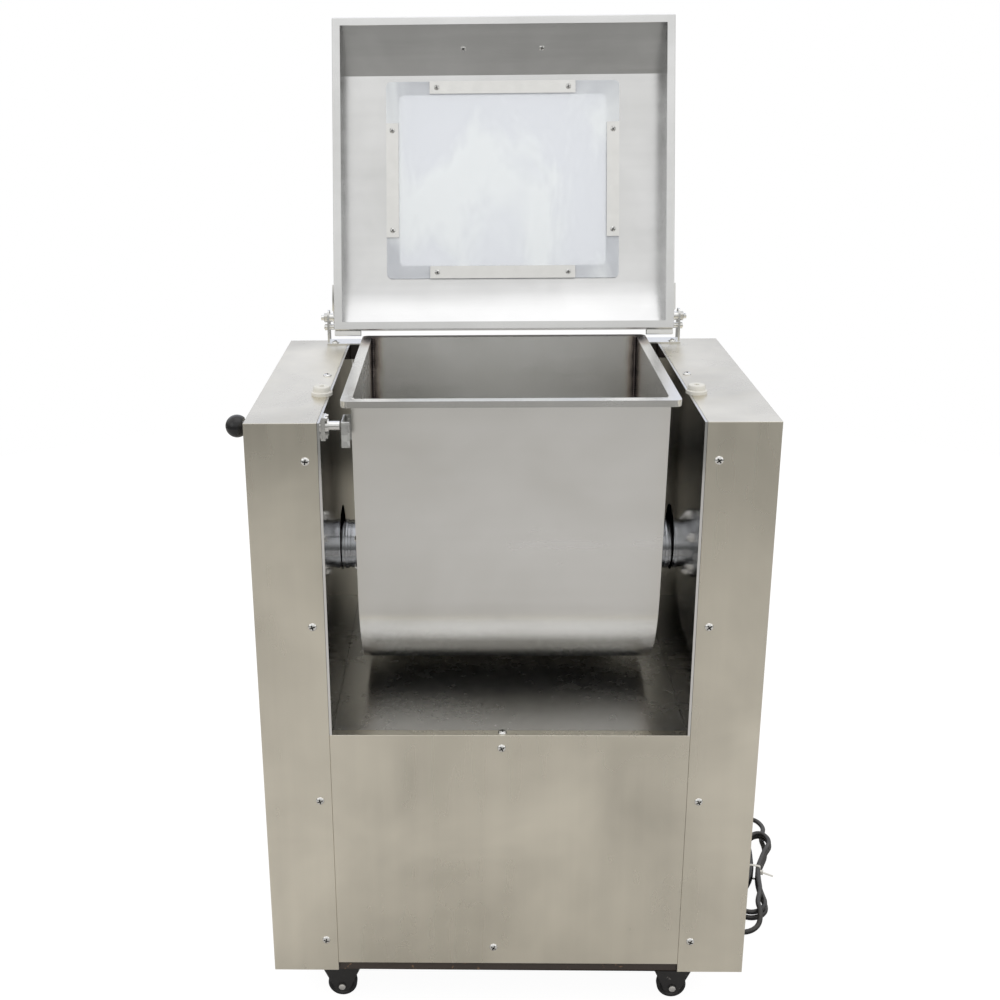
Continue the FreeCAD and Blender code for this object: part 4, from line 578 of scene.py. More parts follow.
@dataclass(frozen=True)
class BrightSteel(Finish):
    """Small polished or drawn fittings, a little scratched, with painted shade inside their cross recesses.

    Attributes:
        scratches: Noise scale of the scratches along each axis.
        scratch_turn: How they lie.
        scratch_depth: Their depth.
    """

    scratches: Point = (160.0, 900.0, 240.0)
    scratch_turn: Point = (0.4, 0.9, 0.2)
    scratch_depth: float = 0.000006

    def make(self, name: str) -> bpy.types.Material:
        """Build the material."""
        shader = Shader(name)
        scratches = shader.noise(1.0, detail=3.0, at=shader.stretched(self.scratches, self.scratch_turn))
        dull = shader.noise(60.0, detail=3.0)
        dark, light = self.shades(0.07)
        # Faces marked as recess get painted shade instead of the steel's colour.
        recess = shader.output("ShaderNodeAttribute", {"attribute_name": "recess"}, name="Fac")
        return shader.finish({"Base Color": shader.blend(recess, shader.blend(dull, dark, light), RECESS_SHADE),
                              "Metallic": 1.0,
                              "Roughness": (dull - 0.5) * 0.1 + (scratches - 0.5) * 0.1 + self.roughness,
                              "Normal": shader.bump(scratches, self.scratch_depth)})


@dataclass(frozen=True)
class Spangle(Finish):
    """Zinc from the dip, in crystals of differing grey.

    Attributes:
        crystals: How many there are per metre.
    """

    crystals: float = 190.0

    def make(self, name: str) -> bpy.types.Material:
        """Build the material."""
        shader = Shader(name)
        crystals = shader.output("ShaderNodeTexVoronoi", inputs={"Vector": shader.place, "Scale": self.crystals},
                                 name="Color")
        grey = shader.output("ShaderNodeRGBToBW", inputs={0: crystals})
        dark, light = self.shades(0.28)
        return shader.finish({"Base Color": shader.blend(grey, dark, light), "Metallic": 0.9,
                              "Roughness": grey * 0.2 + self.roughness,
                              "Normal": shader.bump(shader.noise(300.0), 0.00002)})


@dataclass(frozen=True)
class Coat(Finish):
    """Paint, powder coat, plastic or rubber.

    Attributes:
        grain: Patches of the surface texture per metre.
        depth: Depth of that texture.
        dust: How pale the dust on upward faces is.
        mottle: How much the tone varies.
        bare: Colour under chips in the coat, if it chips.
    """

    grain: float = 900.0
    depth: float = 0.00002
    dust: float = 0.10
    mottle: float = 0.15
    bare: Colour | None = None

    def make(self, name: str) -> bpy.types.Material:
        """Build the material."""
        shader = Shader(name)
        dark, light = self.shades(self.mottle)
        colour = shader.blend(shader.noise(22.0, detail=4.0), dark, light)
        if self.bare is not None:
            chips = shader.between(shader.noise(75.0, detail=6.0, bend=0.6), 0.66, 0.69)
            colour = shader.blend(chips, colour, self.bare)
        dusty = shader.between(shader.up(), 0.3, 1.0) * shader.noise(45.0, detail=5.0) * (2.0 * self.dust)
        colour = shader.blend(dusty, colour, DUST)
        texture = shader.noise(self.grain, detail=3.0)
        return shader.finish({"Base Color": colour, "Normal": shader.bump(texture, self.depth),
                              "Roughness": dusty * 0.6 + (texture - 0.5) * 0.1 + self.roughness})


@dataclass(frozen=True)
class ClearPane(Finish):
    """Clear plastic still under its milky film.

    Attributes:
        milk: How much light the film holds back.
        folds: Noise scale of the film's folds along each axis.
        fold_depth: Their depth.
    """

    milk: float = 0.45
    folds: Point = (9.0, 5.0, 5.0)
    fold_depth: float = 0.0006

    def make(self, name: str) -> bpy.types.Material:
        """Build the material."""
        shader = Shader(name)
        folds = shader.noise(1.0, detail=3.0, bend=0.8, at=shader.stretched(self.folds))
        patches = shader.between(folds, 0.42, 0.62)
        dark, light = self.shades(0.06)
        return shader.finish({"Base Color": shader.blend(patches, dark, light),
                              "Roughness": patches * 0.15 + self.roughness,
                              "Alpha": patches * 0.22 + self.milk,
                              "Normal": shader.bump(folds, self.fold_depth)})


FINISHES: dict[Slot, Finish] = {
    Slot.BRUSHED_COVER: SheetSteel((0.76, 0.72, 0.62), 0.28, cloud=0.16, rolling=(45.0, 45.0, 1.6)),
    # The polished panels' upward faces get painted shade as well as wear.
    Slot.POLISHED_PANEL: SheetSteel((0.90, 0.89, 0.865), 0.10, cloud=0.07, streak=0.03, wobble=0.0004, smudge=0.03,
                                    scuff_and_shade=0.16),
    Slot.SATIN_TANK: WeldedSteel((0.84, 0.825, 0.77), 0.24, cloud=0.10, rolling=(2.0, 60.0, 60.0), smudge=0.03),
    Slot.LID_STEEL: SheetSteel((0.82, 0.82, 0.81), 0.22, cloud=0.07, cloud_size=0.12, rolling=(2.0, 55.0, 55.0),
                               smudge=0.03),
    Slot.CLEAR_PANE: ClearPane((0.90, 0.93, 0.98), 0.10, milk=0.62),
    Slot.BRIGHT_FITTINGS: BrightSteel((0.84, 0.835, 0.815), 0.20),
    Slot.GALVANISED: Spangle((0.62, 0.625, 0.61), 0.34),
    Slot.DARK_FRAME: Coat((0.045, 0.034, 0.028), 0.42, bare=(0.20, 0.12, 0.07)),
    Slot.CASTER_BLACK: Coat((0.022, 0.021, 0.021), 0.36, dust=0.14, bare=(0.16, 0.15, 0.14)),
    Slot.WHEEL_BLACK: Coat((0.017, 0.017, 0.018), 0.50, grain=600.0, depth=0.00005, dust=0.16),
    Slot.KNOB_BLACK: Coat((0.011, 0.011, 0.012), 0.22, dust=0.04, mottle=0.05),
    Slot.NYLON_WHITE: Coat((0.80, 0.78, 0.72), 0.42, grain=500.0, dust=0.05, mottle=0.05),
    Slot.CORD_BLACK: Coat((0.014, 0.014, 0.015), 0.40, grain=1200.0, dust=0.10),
    Slot.SWITCH_GRAY: Coat((0.16, 0.165, 0.17), 0.45, grain=1500.0, depth=0.00004, dust=0.06, mottle=0.05),
    Slot.BUTTON_GREEN: Coat((0.012, 0.20, 0.045), 0.20, dust=0.03, mottle=0.05),
    Slot.BUTTON_BLACK: Coat((0.012, 0.012, 0.012), 0.20, dust=0.03, mottle=0.05),
    Slot.BUTTON_RED: Coat((0.42, 0.010, 0.008), 0.20, dust=0.03, mottle=0.05),
    Slot.BUSH_PLASTIC: Coat((0.70, 0.68, 0.60), 0.40, grain=700.0, dust=0.05, mottle=0.05),
    Slot.HOUSING_IRON: Coat((0.07, 0.075, 0.08), 0.48, grain=420.0, depth=0.00018, bare=(0.20, 0.19, 0.18)),
    Slot.GEAR_PAINT: Coat((0.055, 0.085, 0.13), 0.38, grain=500.0, depth=0.00008, bare=(0.18, 0.17, 0.16)),
    Slot.CHAIN_STEEL: TurnedSteel((0.24, 0.22, 0.20), 0.30, stained=0.9),
    Slot.MACHINED_STEEL: TurnedSteel((0.40, 0.41, 0.43), 0.13, stained=0.2),
}


# ---------------------------------------------------------------- mesh helpers


def aimed(origin: Vector | Point, direction: Vector | Point) -> Matrix:
    """A placement at origin whose Z axis points along direction."""
    turn = Vector((0, 0, 1)).rotation_difference(Vector(direction)).to_matrix().to_4x4()
    return Matrix.Translation(Vector(origin)) @ turn


def rounded_line(corners: Sequence[tuple[float, float]], radius: float, steps: int = 4) -> list[tuple[float, float]]:
    """A 2D line with its inner corners rounded.

    Args:
        corners: The line's points.
        radius: The largest distance from a corner at which its arc starts.
        steps: Runs in each arc.

    Returns:
        The rounded line.
    """
    line = [corners[0]]
    for before, corner, after in zip(corners, corners[1:], corners[2:]):
        a, b, c = Vector(before), Vector(corner), Vector(after)
        cut = min(radius, (a - b).length * 0.45, (c - b).length * 0.45)
        start, end = b + (a - b).normalized() * cut, b + (c - b).normalized() * cut
        for i in range(steps + 1):
            t = i / steps
            spot = start * (1 - t) ** 2 + b * (2 * t * (1 - t)) + end * t ** 2
            line.append((spot.x, spot.y))
    line.append(corners[-1])
    return line


def lathe(profile: Sequence[tuple[float, float]], place: Matrix, sides: int = 48) -> bpy.types.Mesh:
    """Turn a profile about Z.

    Args:
        profile: Height and radius of each point; a radius of zero closes the end.
        place: Where the turned shape goes.
        sides: Faces round.

    Returns:
        The mesh.
    """
    shape = bmesh.new()
    rings: list[list[bmesh.types.BMVert]] = []
    for height, radius in profile:
        if radius < MERGE_DISTANCE:
            rings.append([shape.verts.new((0, 0, height))])
        else:
            rings.append([shape.verts.new((radius * c, radius * s, height)) for c, s in around(sides)])
    for lower, upper in zip(rings, rings[1:]):
        for i in range(sides):
            k = (i + 1) % sides
            corners = [lower[i % len(lower)], lower[k % len(lower)], upper[k % len(upper)], upper[i % len(upper)]]
            unique = list(dict.fromkeys(corners))
            if len(unique) > 2:
                shape.faces.new(unique)
    shape.transform(place)
    bmesh.ops.recalc_face_normals(shape, faces=shape.faces)
    return to_mesh(shape, "turned")


def to_mesh(shape: bmesh.types.BMesh, name: str) -> bpy.types.Mesh:
    """A bmesh as a mesh that is smooth but for its sharp edges; the bmesh is freed."""
    mesh = bpy.data.meshes.new(name)
    shape.to_mesh(mesh)
    shape.free()
    mesh.polygons.foreach_set("use_smooth", [True] * len(mesh.polygons))
    mesh.set_sharp_from_angle(angle=SHARP_ANGLE)
    return mesh


def around(sides: int) -> list[tuple[float, float]]:
    """Cosine and sine of evenly spaced angles of a full turn."""
    return [(math.cos(a), math.sin(a)) for a in (2 * math.pi * i / sides for i in range(sides))]


def skin(line: Sequence[Vector], radii: Sequence[float], sides: int = 20) -> bpy.types.Mesh:
    """A closed tube of varying radius along a line.

    Args:
        line: Points of its middle.
        radii: The radius at each.
        sides: Faces round.

    Returns:
        The mesh.
    """
    shape = bmesh.new()
    rings = []
    across = (line[1] - line[0]).orthogonal().normalized()
    for i, (spot, radius) in enumerate(zip(line, radii)):
        ahead = (line[min(i + 1, len(line) - 1)] - line[max(i - 1, 0)]).normalized()
        across = (across - ahead * across.dot(ahead)).normalized()
        beside = ahead.cross(across)
        rings.append([shape.verts.new(spot + (across * c + beside * s) * radius) for c, s in around(sides)])
    for lower, upper in zip(rings, rings[1:]):
        for k in range(sides):
            n = (k + 1) % sides
            shape.faces.new((lower[k], lower[n], upper[n], upper[k]))
    shape.faces.new(rings[0])
    shape.faces.new(rings[-1])
    bmesh.ops.recalc_face_normals(shape, faces=shape.faces)
    return to_mesh(shape, "skin")


def wires(name: str, lines: Iterable[Sequence[Vector]]) -> bpy.types.Mesh:
    """Lines as a mesh of edges, one run for each."""
    verts: list[Vector] = []
    edges: list[tuple[int, int]] = []
    for line in lines:
        first = len(verts)
        verts += line
        edges += [(first + i, first + i + 1) for i in range(len(line) - 1)]
    mesh = bpy.data.meshes.new(name)
    mesh.from_pydata(verts, edges, [])
    return mesh


def ring(place: Matrix, radius: float, sides: int) -> list[Vector]:
    """A circle about the placement's Z axis that ends where it starts."""
    line = [place @ Vector((radius * c, radius * s, 0)) for c, s in around(sides)]
    return line + [line[0].copy()]


def on_shaft(x: float) -> Vector:
    """A point of the mixing shaft's axis."""
    return Vector((x, MIDDLE, SHAFT_HEIGHT))


def islands(mesh: bpy.types.Mesh) -> list[bmesh.types.BMesh]:
    """The separate solids of a CAD mesh, each merged into a mesh of its own."""
    whole = bmesh.new()
    whole.from_mesh(mesh)
    bmesh.ops.remove_doubles(whole, verts=whole.verts, dist=MERGE_DISTANCE)
    seen: set[bmesh.types.BMVert] = set()
    found = []
    for start in whole.verts:
        if start in seen:
            continue
        seen.add(start)
        group = [start]
        for vert in group:  # the list grows until the whole solid is in it, in the same order each run
            for link in vert.link_edges:
                other = link.other_vert(vert)
                if other not in seen:
                    seen.add(other)
                    group.append(other)
        solid = bmesh.new()
        copies = {vert: solid.verts.new(vert.co) for vert in group}
        for face in dict.fromkeys(face for vert in group for face in vert.link_faces):
            solid.faces.new([copies[vert] for vert in face.verts])
        found.append(solid)
    whole.free()
    return sorted(found, key=lambda solid: tuple(round(c, 4) for c in sum((v.co for v in solid.verts), Vector())
                                                 / len(solid.verts)))


# ---------------------------------------------------------------- the workshop


@dataclass
class Workshop:
    """Keeps the CAD frame and the finishes, and makes meshes into pieces that ride on a body.

    Attributes:
        paints: The material of each slot.
    """

    frame: dict[str, Any]
    paints: dict[Slot, bpy.types.Material] = field(default_factory=dict)

    def __post_init__(self) -> None:
        """Make the finishes and look up each node's slot and body."""
        self.paints = {slot: finish.make(slot.value) for slot, finish in FINISHES.items()}
        record = self.frame["record"]
        self.slots = {part["node"]: Slot(part["material_slot"]) for part in record["subparts"]}
        self.bodies = {node: body for body, nodes in record["behaviour"]["bodies"].items() for node in nodes}

    def paint_nodes(self) -> None:
        """Give every CAD node its finish through its material slots."""
        for name, thing in self.frame["nodes"].items():
            for place in thing.material_slots:
                place.material = self.paints[self.slots[name]]

    def piece(self, name: str, mesh: bpy.types.Mesh, slot: Slot, body: Body | str,
              stands_for: Sequence[str] = ()) -> bpy.types.Object:
        """Put a mesh into the scene.

        Args:
            name: The piece's name.
            mesh: Its mesh, in the row frame.
            slot: The slot whose finish it takes.
            body: The body it rides on.
            stands_for: CAD nodes that it replaces.

        Returns:
            The object.
        """
        thing = added(name, mesh)
        mesh.materials.clear()
        mesh.materials.append(self.paints[slot])
        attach(thing, body.value if isinstance(body, Body) else body)
        if stands_for:
            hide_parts(*stands_for)
        LOG.info("%s: %d faces", name, len(mesh.polygons))
        return thing

    def softened(self, node: str, fold: float, least: float = 0.0035) -> bpy.types.Object:
        """Stand in for a CAD node with its outer folds rounded and its curves smooth.

        Args:
            node: The CAD node.
            fold: The radius of its outer folds.
            least: Faces narrower than this, such as a sheet's cut edge, keep their corners.

        Returns:
            The piece.
        """
        shape = bmesh.new()
        shape.from_mesh(self.frame["nodes"][node].data)
        bmesh.ops.remove_doubles(shape, verts=shape.verts, dist=MERGE_DISTANCE)
        bmesh.ops.dissolve_limit(shape, angle_limit=FLAT_ANGLE, use_dissolve_boundaries=False, verts=shape.verts,
                                 edges=shape.edges, delimit={"NORMAL"})
        broad = {face for face in shape.faces
                 if face.calc_area() / max(edge.calc_length() for edge in face.edges) > least}
        folds = [edge for edge in shape.edges
                 if edge.is_manifold and edge.is_convex and edge.calc_face_angle(0.0) > FOLD_ANGLE
                 and all(face in broad for face in edge.link_faces)]
        if folds and fold > 0:
            bmesh.ops.bevel(shape, geom=folds, offset=fold, segments=3, profile=0.5, affect="EDGES",
                            clamp_overlap=True)
        thing = self.piece(f"{node}_formed", to_mesh(shape, node), self.slots[node], self.bodies[node], (node,))
        thing.modifiers.new("even faces", "WEIGHTED_NORMAL").keep_sharp = True
        return thing


# ---------------------------------------------------------------- recipes


def pan_head_recipe() -> Recipe:
    """Pan heads with a cross recess, one on each point, along its "facing" attribute."""
    recipe = Recipe("pan_heads", head_radius=0.006, head_height=0.0034)
    radius, height = recipe.given("head_radius"), recipe.given("head_height")
    size = recipe.vector(radius, radius, height)
    slot_length, slot_width, slot_floor, still_skin = 1.20, 0.27, 0.95, 0.96
    dome = recipe.moved(recipe.ball(32, 16), scale=size)
    block = recipe.output("GeometryNodeMeshCube", inputs={"Size": (1.0, 1.0, 1.0)})
    under = recipe.moved(block, by=(0, 0, -0.5))
    blades = [recipe.moved(block, by=recipe.vector(0.0, 0.0, height * slot_floor),
                           scale=recipe.vector(radius * wide, radius * deep, height * 1.5))
              for wide, deep in ((slot_length, slot_width), (slot_width, slot_length))]
    cut = recipe.without(dome, under, *blades)
    round_spot = recipe.output("ShaderNodeVectorMath", {"operation": "DIVIDE"},
                               {0: recipe.output("GeometryNodeInputPosition"), 1: size})
    depth = recipe.output("ShaderNodeVectorMath", {"operation": "LENGTH"}, {0: round_spot}, name="Value")
    # Mark the faces of the cross recess, where the finish paints shade.
    sunk = recipe.output("ShaderNodeMath", {"operation": "LESS_THAN"}, {0: depth, 1: still_skin})
    head = recipe.output("GeometryNodeStoreNamedAttribute", {"data_type": "FLOAT", "domain": "FACE"},
                         {"Geometry": cut, "Name": "recess", "Value": sunk})
    facing = recipe.output("GeometryNodeInputNamedAttribute", {"data_type": "FLOAT_VECTOR"}, {"Name": "facing"},
                           name="Attribute")
    aim = recipe.output("FunctionNodeAlignRotationToVector", {"axis": "Z"}, {"Vector": facing})
    chance = recipe.output("FunctionNodeRandomValue", {"data_type": "FLOAT"}, {"Max": math.pi, "Seed": 7},
                           name="Value")
    spin = recipe.output("FunctionNodeAxisAngleToRotation", inputs={"Axis": (0, 0, 1), "Angle": chance})
    turn = recipe.output("FunctionNodeRotateRotation", {"rotation_space": "LOCAL"}, {0: aim, 1: spin})
    recipe.close(recipe.spread(recipe.source(), head, turn), smooth=False)
    return recipe


def weld_recipe() -> Recipe:
    """A weld bead of overlapping ripples along each line."""
    recipe = Recipe("weld_bead", bead=0.0022, pitch=0.0016)
    bead, pitch = recipe.given("bead"), recipe.given("pitch")
    line = recipe.output("GeometryNodeMeshToCurve", inputs={"Mesh": recipe.source()})
    spots = recipe.add("GeometryNodeCurveToPoints", {"mode": "LENGTH"}, {"Curve": line, "Length": pitch})
    ripple = recipe.moved(recipe.ball(12, 6), scale=recipe.vector(bead, bead, pitch * 1.1))
    points, turns = (Value(recipe, spots.outputs[name]) for name in ("Points", "Rotation"))
    recipe.close(recipe.spread(points, ripple, turns))
    return recipe


# ---------------------------------------------------------------- sub-assemblies


@dataclass
class Assembly:
    """A group of pieces that the workshop makes.

    Attributes:
        shop: The workshop.
        folds: The CAD nodes that only need rounded folds, and the radius of those.
    """

    shop: Workshop
    folds: dict[str, float] = field(default_factory=dict)

    def build(self) -> None:
        """Round the folds of the nodes."""
        for node, fold in self.folds.items():
            self.shop.softened(node, fold)


@dataclass
class MainsLead(Assembly):
    """The mains lead: free run from the gland, tied hank beside the column, and plug.

    Attributes:
        diameter: Its sheath.
        length: Its real length; not used.
        gland: Where it leaves the machine; not used.
        fall: Its free run, in millimetres, Y from the columns' middle.
        rest: Its run from the hank to the plug, in the same units.
        hank_middle: The hank's middle on the floor.
        hank_turn: How far the hank is turned.
        lobe: Half a loop of the hank, from one waist crossing to its far end, in millimetres.
        level: Height of the lowest run.
        rise: Height that each turn adds.
        slack: Each loop's width and length, against the lobe's.
        waist: Across at the crossing, and across and along where a run leaves it.
        way_in: The hank's first points, in its own frame, with their heights.
        way_out: Its last points, at the height of the top run.
        sleeve: Where the strain relief starts and ends along the lead.
    """

    diameter: float = 0.008
    length: float = 1.885
    gland: Point = (0.332, MIDDLE + 0.150, 0.300)
    fall: tuple[Point, ...] = (
        (332, 150, 300), (378, 150, 298), (400, 154, 256), (402, 159, 198), (398, 165, 140), (394, 174, 82),
        (396, 186, 36), (397, 214, 10.2), (404, 244, 4.3), (424, 268, 4.3), (452, 266, 4.4), (463, 240, 4.4),
        (456, 217, 4.4))
    rest: tuple[Point, ...] = (
        (404, -22, 21.0), (398, -46, 9.5), (375, -57, 4.3), (350, -46, 4.3), (337, -22, 4.7), (334, 4, 10),
        (334, 30, 18.7), (334, 52, 18.7))
    hank_middle: tuple[float, float] = (0.417, 0.092)
    hank_turn: float = math.radians(-15.6)
    lobe: tuple[tuple[float, float], ...] = ((17.5, 60), (26.5, 84), (20, 106), (0, 117.5))
    level: float = 5.3
    rise: float = 8.2
    slack: tuple[tuple[float, float], ...] = ((1.0, 1.0), (0.74, 0.95), (0.92, 0.97), (0.70, 0.92))
    waist: Point = (4.6, 8.5, 30)
    way_in: tuple[Point, ...] = ((3, 112, 4.4), (10, 92, 4.4), (14, 62, 4.8))
    way_out: tuple[tuple[float, float], ...] = ((14, -62), (11, -92))
    sleeve: tuple[float, float] = (0.0225, 0.0545)

    def on_hank(self, x: float, y: float, z: float) -> Vector:
        """A point of the hank, given in millimetres in its own frame."""
        spot = Matrix.Rotation(self.hank_turn, 3, "Z") @ Vector((x, y, z)) / 1000
        return spot + Vector((self.hank_middle[0], self.hank_middle[1] + MIDDLE, 0))

    def turns(self) -> list[Vector]:
        """Control points of the tied turns, from the lead's way in under them to its way out over them."""
        points = [self.on_hank(*spot) for spot in self.way_in]
        shares = (0.3, 0.65, 0.92, 1.0, 1.0, 1.0, 1.0)
        near, wide, along = self.waist
        for run in range(len(self.slack) + 1):
            side = 1 if run % 2 == 0 else -1
            height = self.level + self.rise * (run // 2)
            points += [self.on_hank(side * x, side * y, height) for x, y in ((wide, along), (near, 0), (wide, -along))]
            if run < len(self.slack):
                climb = self.rise if side < 0 else 0.0
                width, reach = self.slack[run]
                bow = [(side * x * width, -side * y * reach) for x, y in self.lobe]
                bow += [(-x, y) for x, y in reversed(bow[:-1])]
                points += [self.on_hank(x, y, height + climb * share) for (x, y), share in zip(bow, shares)]
        return points + [self.on_hank(x, y, height) for x, y in self.way_out]

    def line(self) -> list[Vector]:
        """All control points in the row frame."""
        def placed(route: Sequence[Point]) -> list[Vector]:
            return [Vector((x / 1000, y / 1000 + MIDDLE, z / 1000)) for x, y, z in route]
        return placed(self.fall) + self.turns() + placed(self.rest)

    def build(self) -> None:
        curve = bpy.data.curves.new("mains_lead", "CURVE")
        curve.dimensions = "3D"
        spline = curve.splines.new("NURBS")
        points = self.line()
        spline.points.add(len(points) - 1)
        for spot, place in zip(spline.points, points):
            spot.co = (*place, 1.0)
        spline.order_u = 3
        spline.use_endpoint_u = True
        spline.resolution_u = 12
        lead = added("mains_lead", curve)
        graph = bpy.context.evaluated_depsgraph_get()
        path = [v.co.copy() for v in bpy.data.meshes.new_from_object(lead.evaluated_get(graph)).vertices]
        curve.bevel_depth = self.diameter / 2
        curve.bevel_resolution = 4
        curve.use_fill_caps = True
        curve.materials.append(self.shop.paints[Slot.CORD_BLACK])
        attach(lead, Body.FRAME.value)
        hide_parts("cord_lead", "cord_hank", "cord_tail")
        relief = self.strain_relief(path)
        tie = self.cable_tie()
        plug = self.shop.softened("plug", 0.0014)

    def strain_relief(self, path: Sequence[Vector]) -> bpy.types.Object:
        """A ribbed sleeve that tapers from the gland onto the lead."""
        root, tip, rib, ribs, count = 0.0068, 0.0044, 0.0006, 6, 60
        spots, gone = [], 0.0
        for before, after in zip(path, path[1:]):
            gone += (after - before).length
            if self.sleeve[0] <= gone <= self.sleeve[1]:
                spots.append(after)
        line, radii = [], []
        for share in (i / count for i in range(count + 1)):
            place = (len(spots) - 1) * share
            low = min(int(place), len(spots) - 2)
            line.append(spots[low].lerp(spots[low + 1], place - low))
            swell = rib * max(0.0, math.sin(share * ribs * 2 * math.pi)) * (1 - share)
            radii.append(root - (root - tip) * share + swell)
        return self.shop.piece("strain_relief", skin(line, radii, 28), Slot.CORD_BLACK, Body.FRAME)

    def cable_tie(self) -> bpy.types.Object:
        """The white tie round the hank's waist, with its head and its free end."""
        half, low, high, thick, wide, floor = 9.5, 0.25, 27.0, 1.1, 2.3, 0.15
        middle, tall = (low + high) / 2, (high - low) / 2
        head = ((half - 0.2, -3.0, 12.0), (half + 4.6, 3.0, 18.0))
        tail = ((half + 3.0, -2.0, 14.6), (half + 21.0, 2.0, 15.7))
        corners = [(0, low), (half, low), (half, high), (-half, high), (-half, low), (0, low)]
        shape = bmesh.new()
        rings = []
        for x, z in rounded_line(corners, 4.0, 6)[:-1]:
            inner = (x * (1 - thick / half), z - (z - middle) / tall * thick)
            rings.append([shape.verts.new(self.on_hank(a, y, max(b, floor)))
                          for (a, b), y in (((x, z), -wide), ((x, z), wide), (inner, wide), (inner, -wide))])
        for a, b in zip(rings, rings[1:] + rings[:1]):
            for k in range(4):
                n = (k + 1) % 4
                shape.faces.new((a[k], a[n], b[n], b[k]))
        for start, end in (head, tail):
            for vert in bmesh.ops.create_cube(shape, size=1.0)["verts"]:
                x, y, z = (c * (b - a) + (a + b) / 2 for c, a, b in zip(vert.co, start, end))
                sag = 0.012 * max(0.0, x - tail[0][0]) ** 2
                vert.co = self.on_hank(x, y, z - sag)
        bmesh.ops.recalc_face_normals(shape, faces=shape.faces)
        tie = self.shop.piece("cable_tie_band", to_mesh(shape, "tie"), Slot.NYLON_WHITE, Body.FRAME, ("cable_tie",))
        bevel = tie.modifiers.new("edges", "BEVEL")
        bevel.width, bevel.segments = 0.00025, 2
        return tie


@dataclass
class Columns(Assembly):
    """The two columns: folded covers, polished inner panels, and what their insides carry."""

    folds: dict[str, float] = field(default_factory=lambda: {
        "left_column_cover": 0.0016, "right_column_cover": 0.0016, "left_inner_panel": 0.0011,
        "right_inner_panel": 0.0011, "front_panel": 0.0011, "deck_pan": 0.0011, "rear_panel": 0.0006,
        "rear_cross_member": 0.002, "base_frame": 0.003, "column_towers": 0.0025, "motor_table": 0.0008,
        "bearing_housings": 0.0012, "housing_bolts": 0.0005, "gearbox": 0.004, "motor": 0.0015})


@dataclass
class Tank(Assembly):
    """The tilting tank with its trunnions, catch, shaft and paddles.

    Attributes:
        arm_places: Where the cross arms sit along the shaft.
        arm_step: The turn from one arm to the next.
        collar_radius: The collars that hold the arms.
        collar_half: Half a collar's width.
        arm_radius: An arm's radius.
        shaft_bead: Radius of the beads between collar and shaft.
        blade_foot: Where a blade starts along its arm.
        seam_radius: The tank's bowl, inside.
        seam_side: Distance of the end plates' inner corners from the middle.
        flare: How far the front and back walls lean out.
        mouth: Height of the tank's rim over the shaft.
        collar_bore: Inner radius of the turned collars.
        collars: Start, width and radius of each of them.
    """

    folds: dict[str, float] = field(default_factory=lambda: {
        "tank_shell": 0.0012, "left_trunnion": 0.0006, "right_trunnion": 0.0006, "flange_nuts": 0.0005,
        "shaft_bushes": 0.0006, "lock_catch": 0.0012, "mixing_shaft": 0.0008, "mixing_paddles": 0.0012})
    arm_places: tuple[float, ...] = (-0.144, -0.072, 0.0, 0.072, 0.144)
    arm_step: float = math.radians(36)
    collar_radius: float = 0.0265
    collar_half: float = 0.014
    arm_radius: float = 0.008
    shaft_bead: float = 0.018
    blade_foot: float = 0.088
    seam_radius: float = 0.159
    seam_side: float = 0.1985
    flare: float = math.radians(4.5)
    mouth: float = 0.262
    collar_bore: float = 0.0336
    collars: tuple[tuple[float, float, float], ...] = ((0.2066, 0.0075, 0.0366), (0.2200, 0.0022, 0.0349),
                                                       (0.2262, 0.0050, 0.0358))

    def arm_welds(self) -> list[list[Vector]]:
        """Rings where the arms leave their collars and meet their blades."""
        lines = []
        for index, x in enumerate(self.arm_places):
            turn = Matrix.Rotation(index * self.arm_step, 4, "X")
            for end in (-1, 1):
                for distance, radius in ((self.collar_radius, self.arm_radius + 0.0006),
                                         (self.blade_foot, self.arm_radius - 0.001)):
                    out = turn @ Vector((0, 0, end))
                    lines.append(ring(aimed(on_shaft(x) + out * distance, out), radius, 28))
            for side in (-1, 1):
                lines.append(ring(aimed(on_shaft(x + side * self.collar_half), (1, 0, 0)), self.shaft_bead, 48))
        return lines

    def shell_seams(self) -> list[list[Vector]]:
        """The inner corners where the end plates meet the bowl and its flared walls."""
        top = self.seam_radius / math.cos(self.flare) + self.mouth * math.tan(self.flare)
        bowl = [(self.seam_radius * math.cos(a), self.seam_radius * math.sin(a))
                for a in (-self.flare - (math.pi - 2 * self.flare) * i / 64 for i in range(65))]
        section = [(top, self.mouth), *bowl, (-top, self.mouth)]
        return [[on_shaft(side * self.seam_side) + Vector((0, y, z)) for y, z in section] for side in (-1, 1)]

    def hub_rings(self) -> None:
        """Turned collars that stand proud on the trunnions between the tank and the inner panels."""
        for side, label in ((-1, "left"), (1, "right")):
            for number, (start, width, radius) in enumerate(self.collars):
                bore = self.collar_bore
                section = [(0.0, bore), (0.0, radius), (width, radius), (width, bore), (0.0, bore)]
                mesh = lathe(rounded_line(section, 0.0005, 3), aimed(on_shaft(side * start), (side, 0, 0)), 96)
                self.shop.piece(f"{label}_hub_collar_{number}", mesh, Slot.MACHINED_STEEL, Body.TANK)

    def build(self) -> None:
        """Form the tank's metal and weld its seams and its arms."""
        self.hub_rings()
        super().build()
        weld = weld_recipe()
        left, right = self.shell_seams()
        for name, lines, slot, body, bead, pitch in (
                ("arm_welds", self.arm_welds(), Slot.MACHINED_STEEL, Body.SHAFT, 0.0019, 0.0016),
                ("left_tank_seam", [left], Slot.SATIN_TANK, Body.TANK, 0.0026, 0.0030),
                ("right_tank_seam", [right], Slot.SATIN_TANK, Body.TANK, 0.0026, 0.0030)):
            seam = weld.run(wires(name, lines), self.shop.paints[slot], bead=bead, pitch=pitch)
            self.shop.piece(name, seam, slot, body)


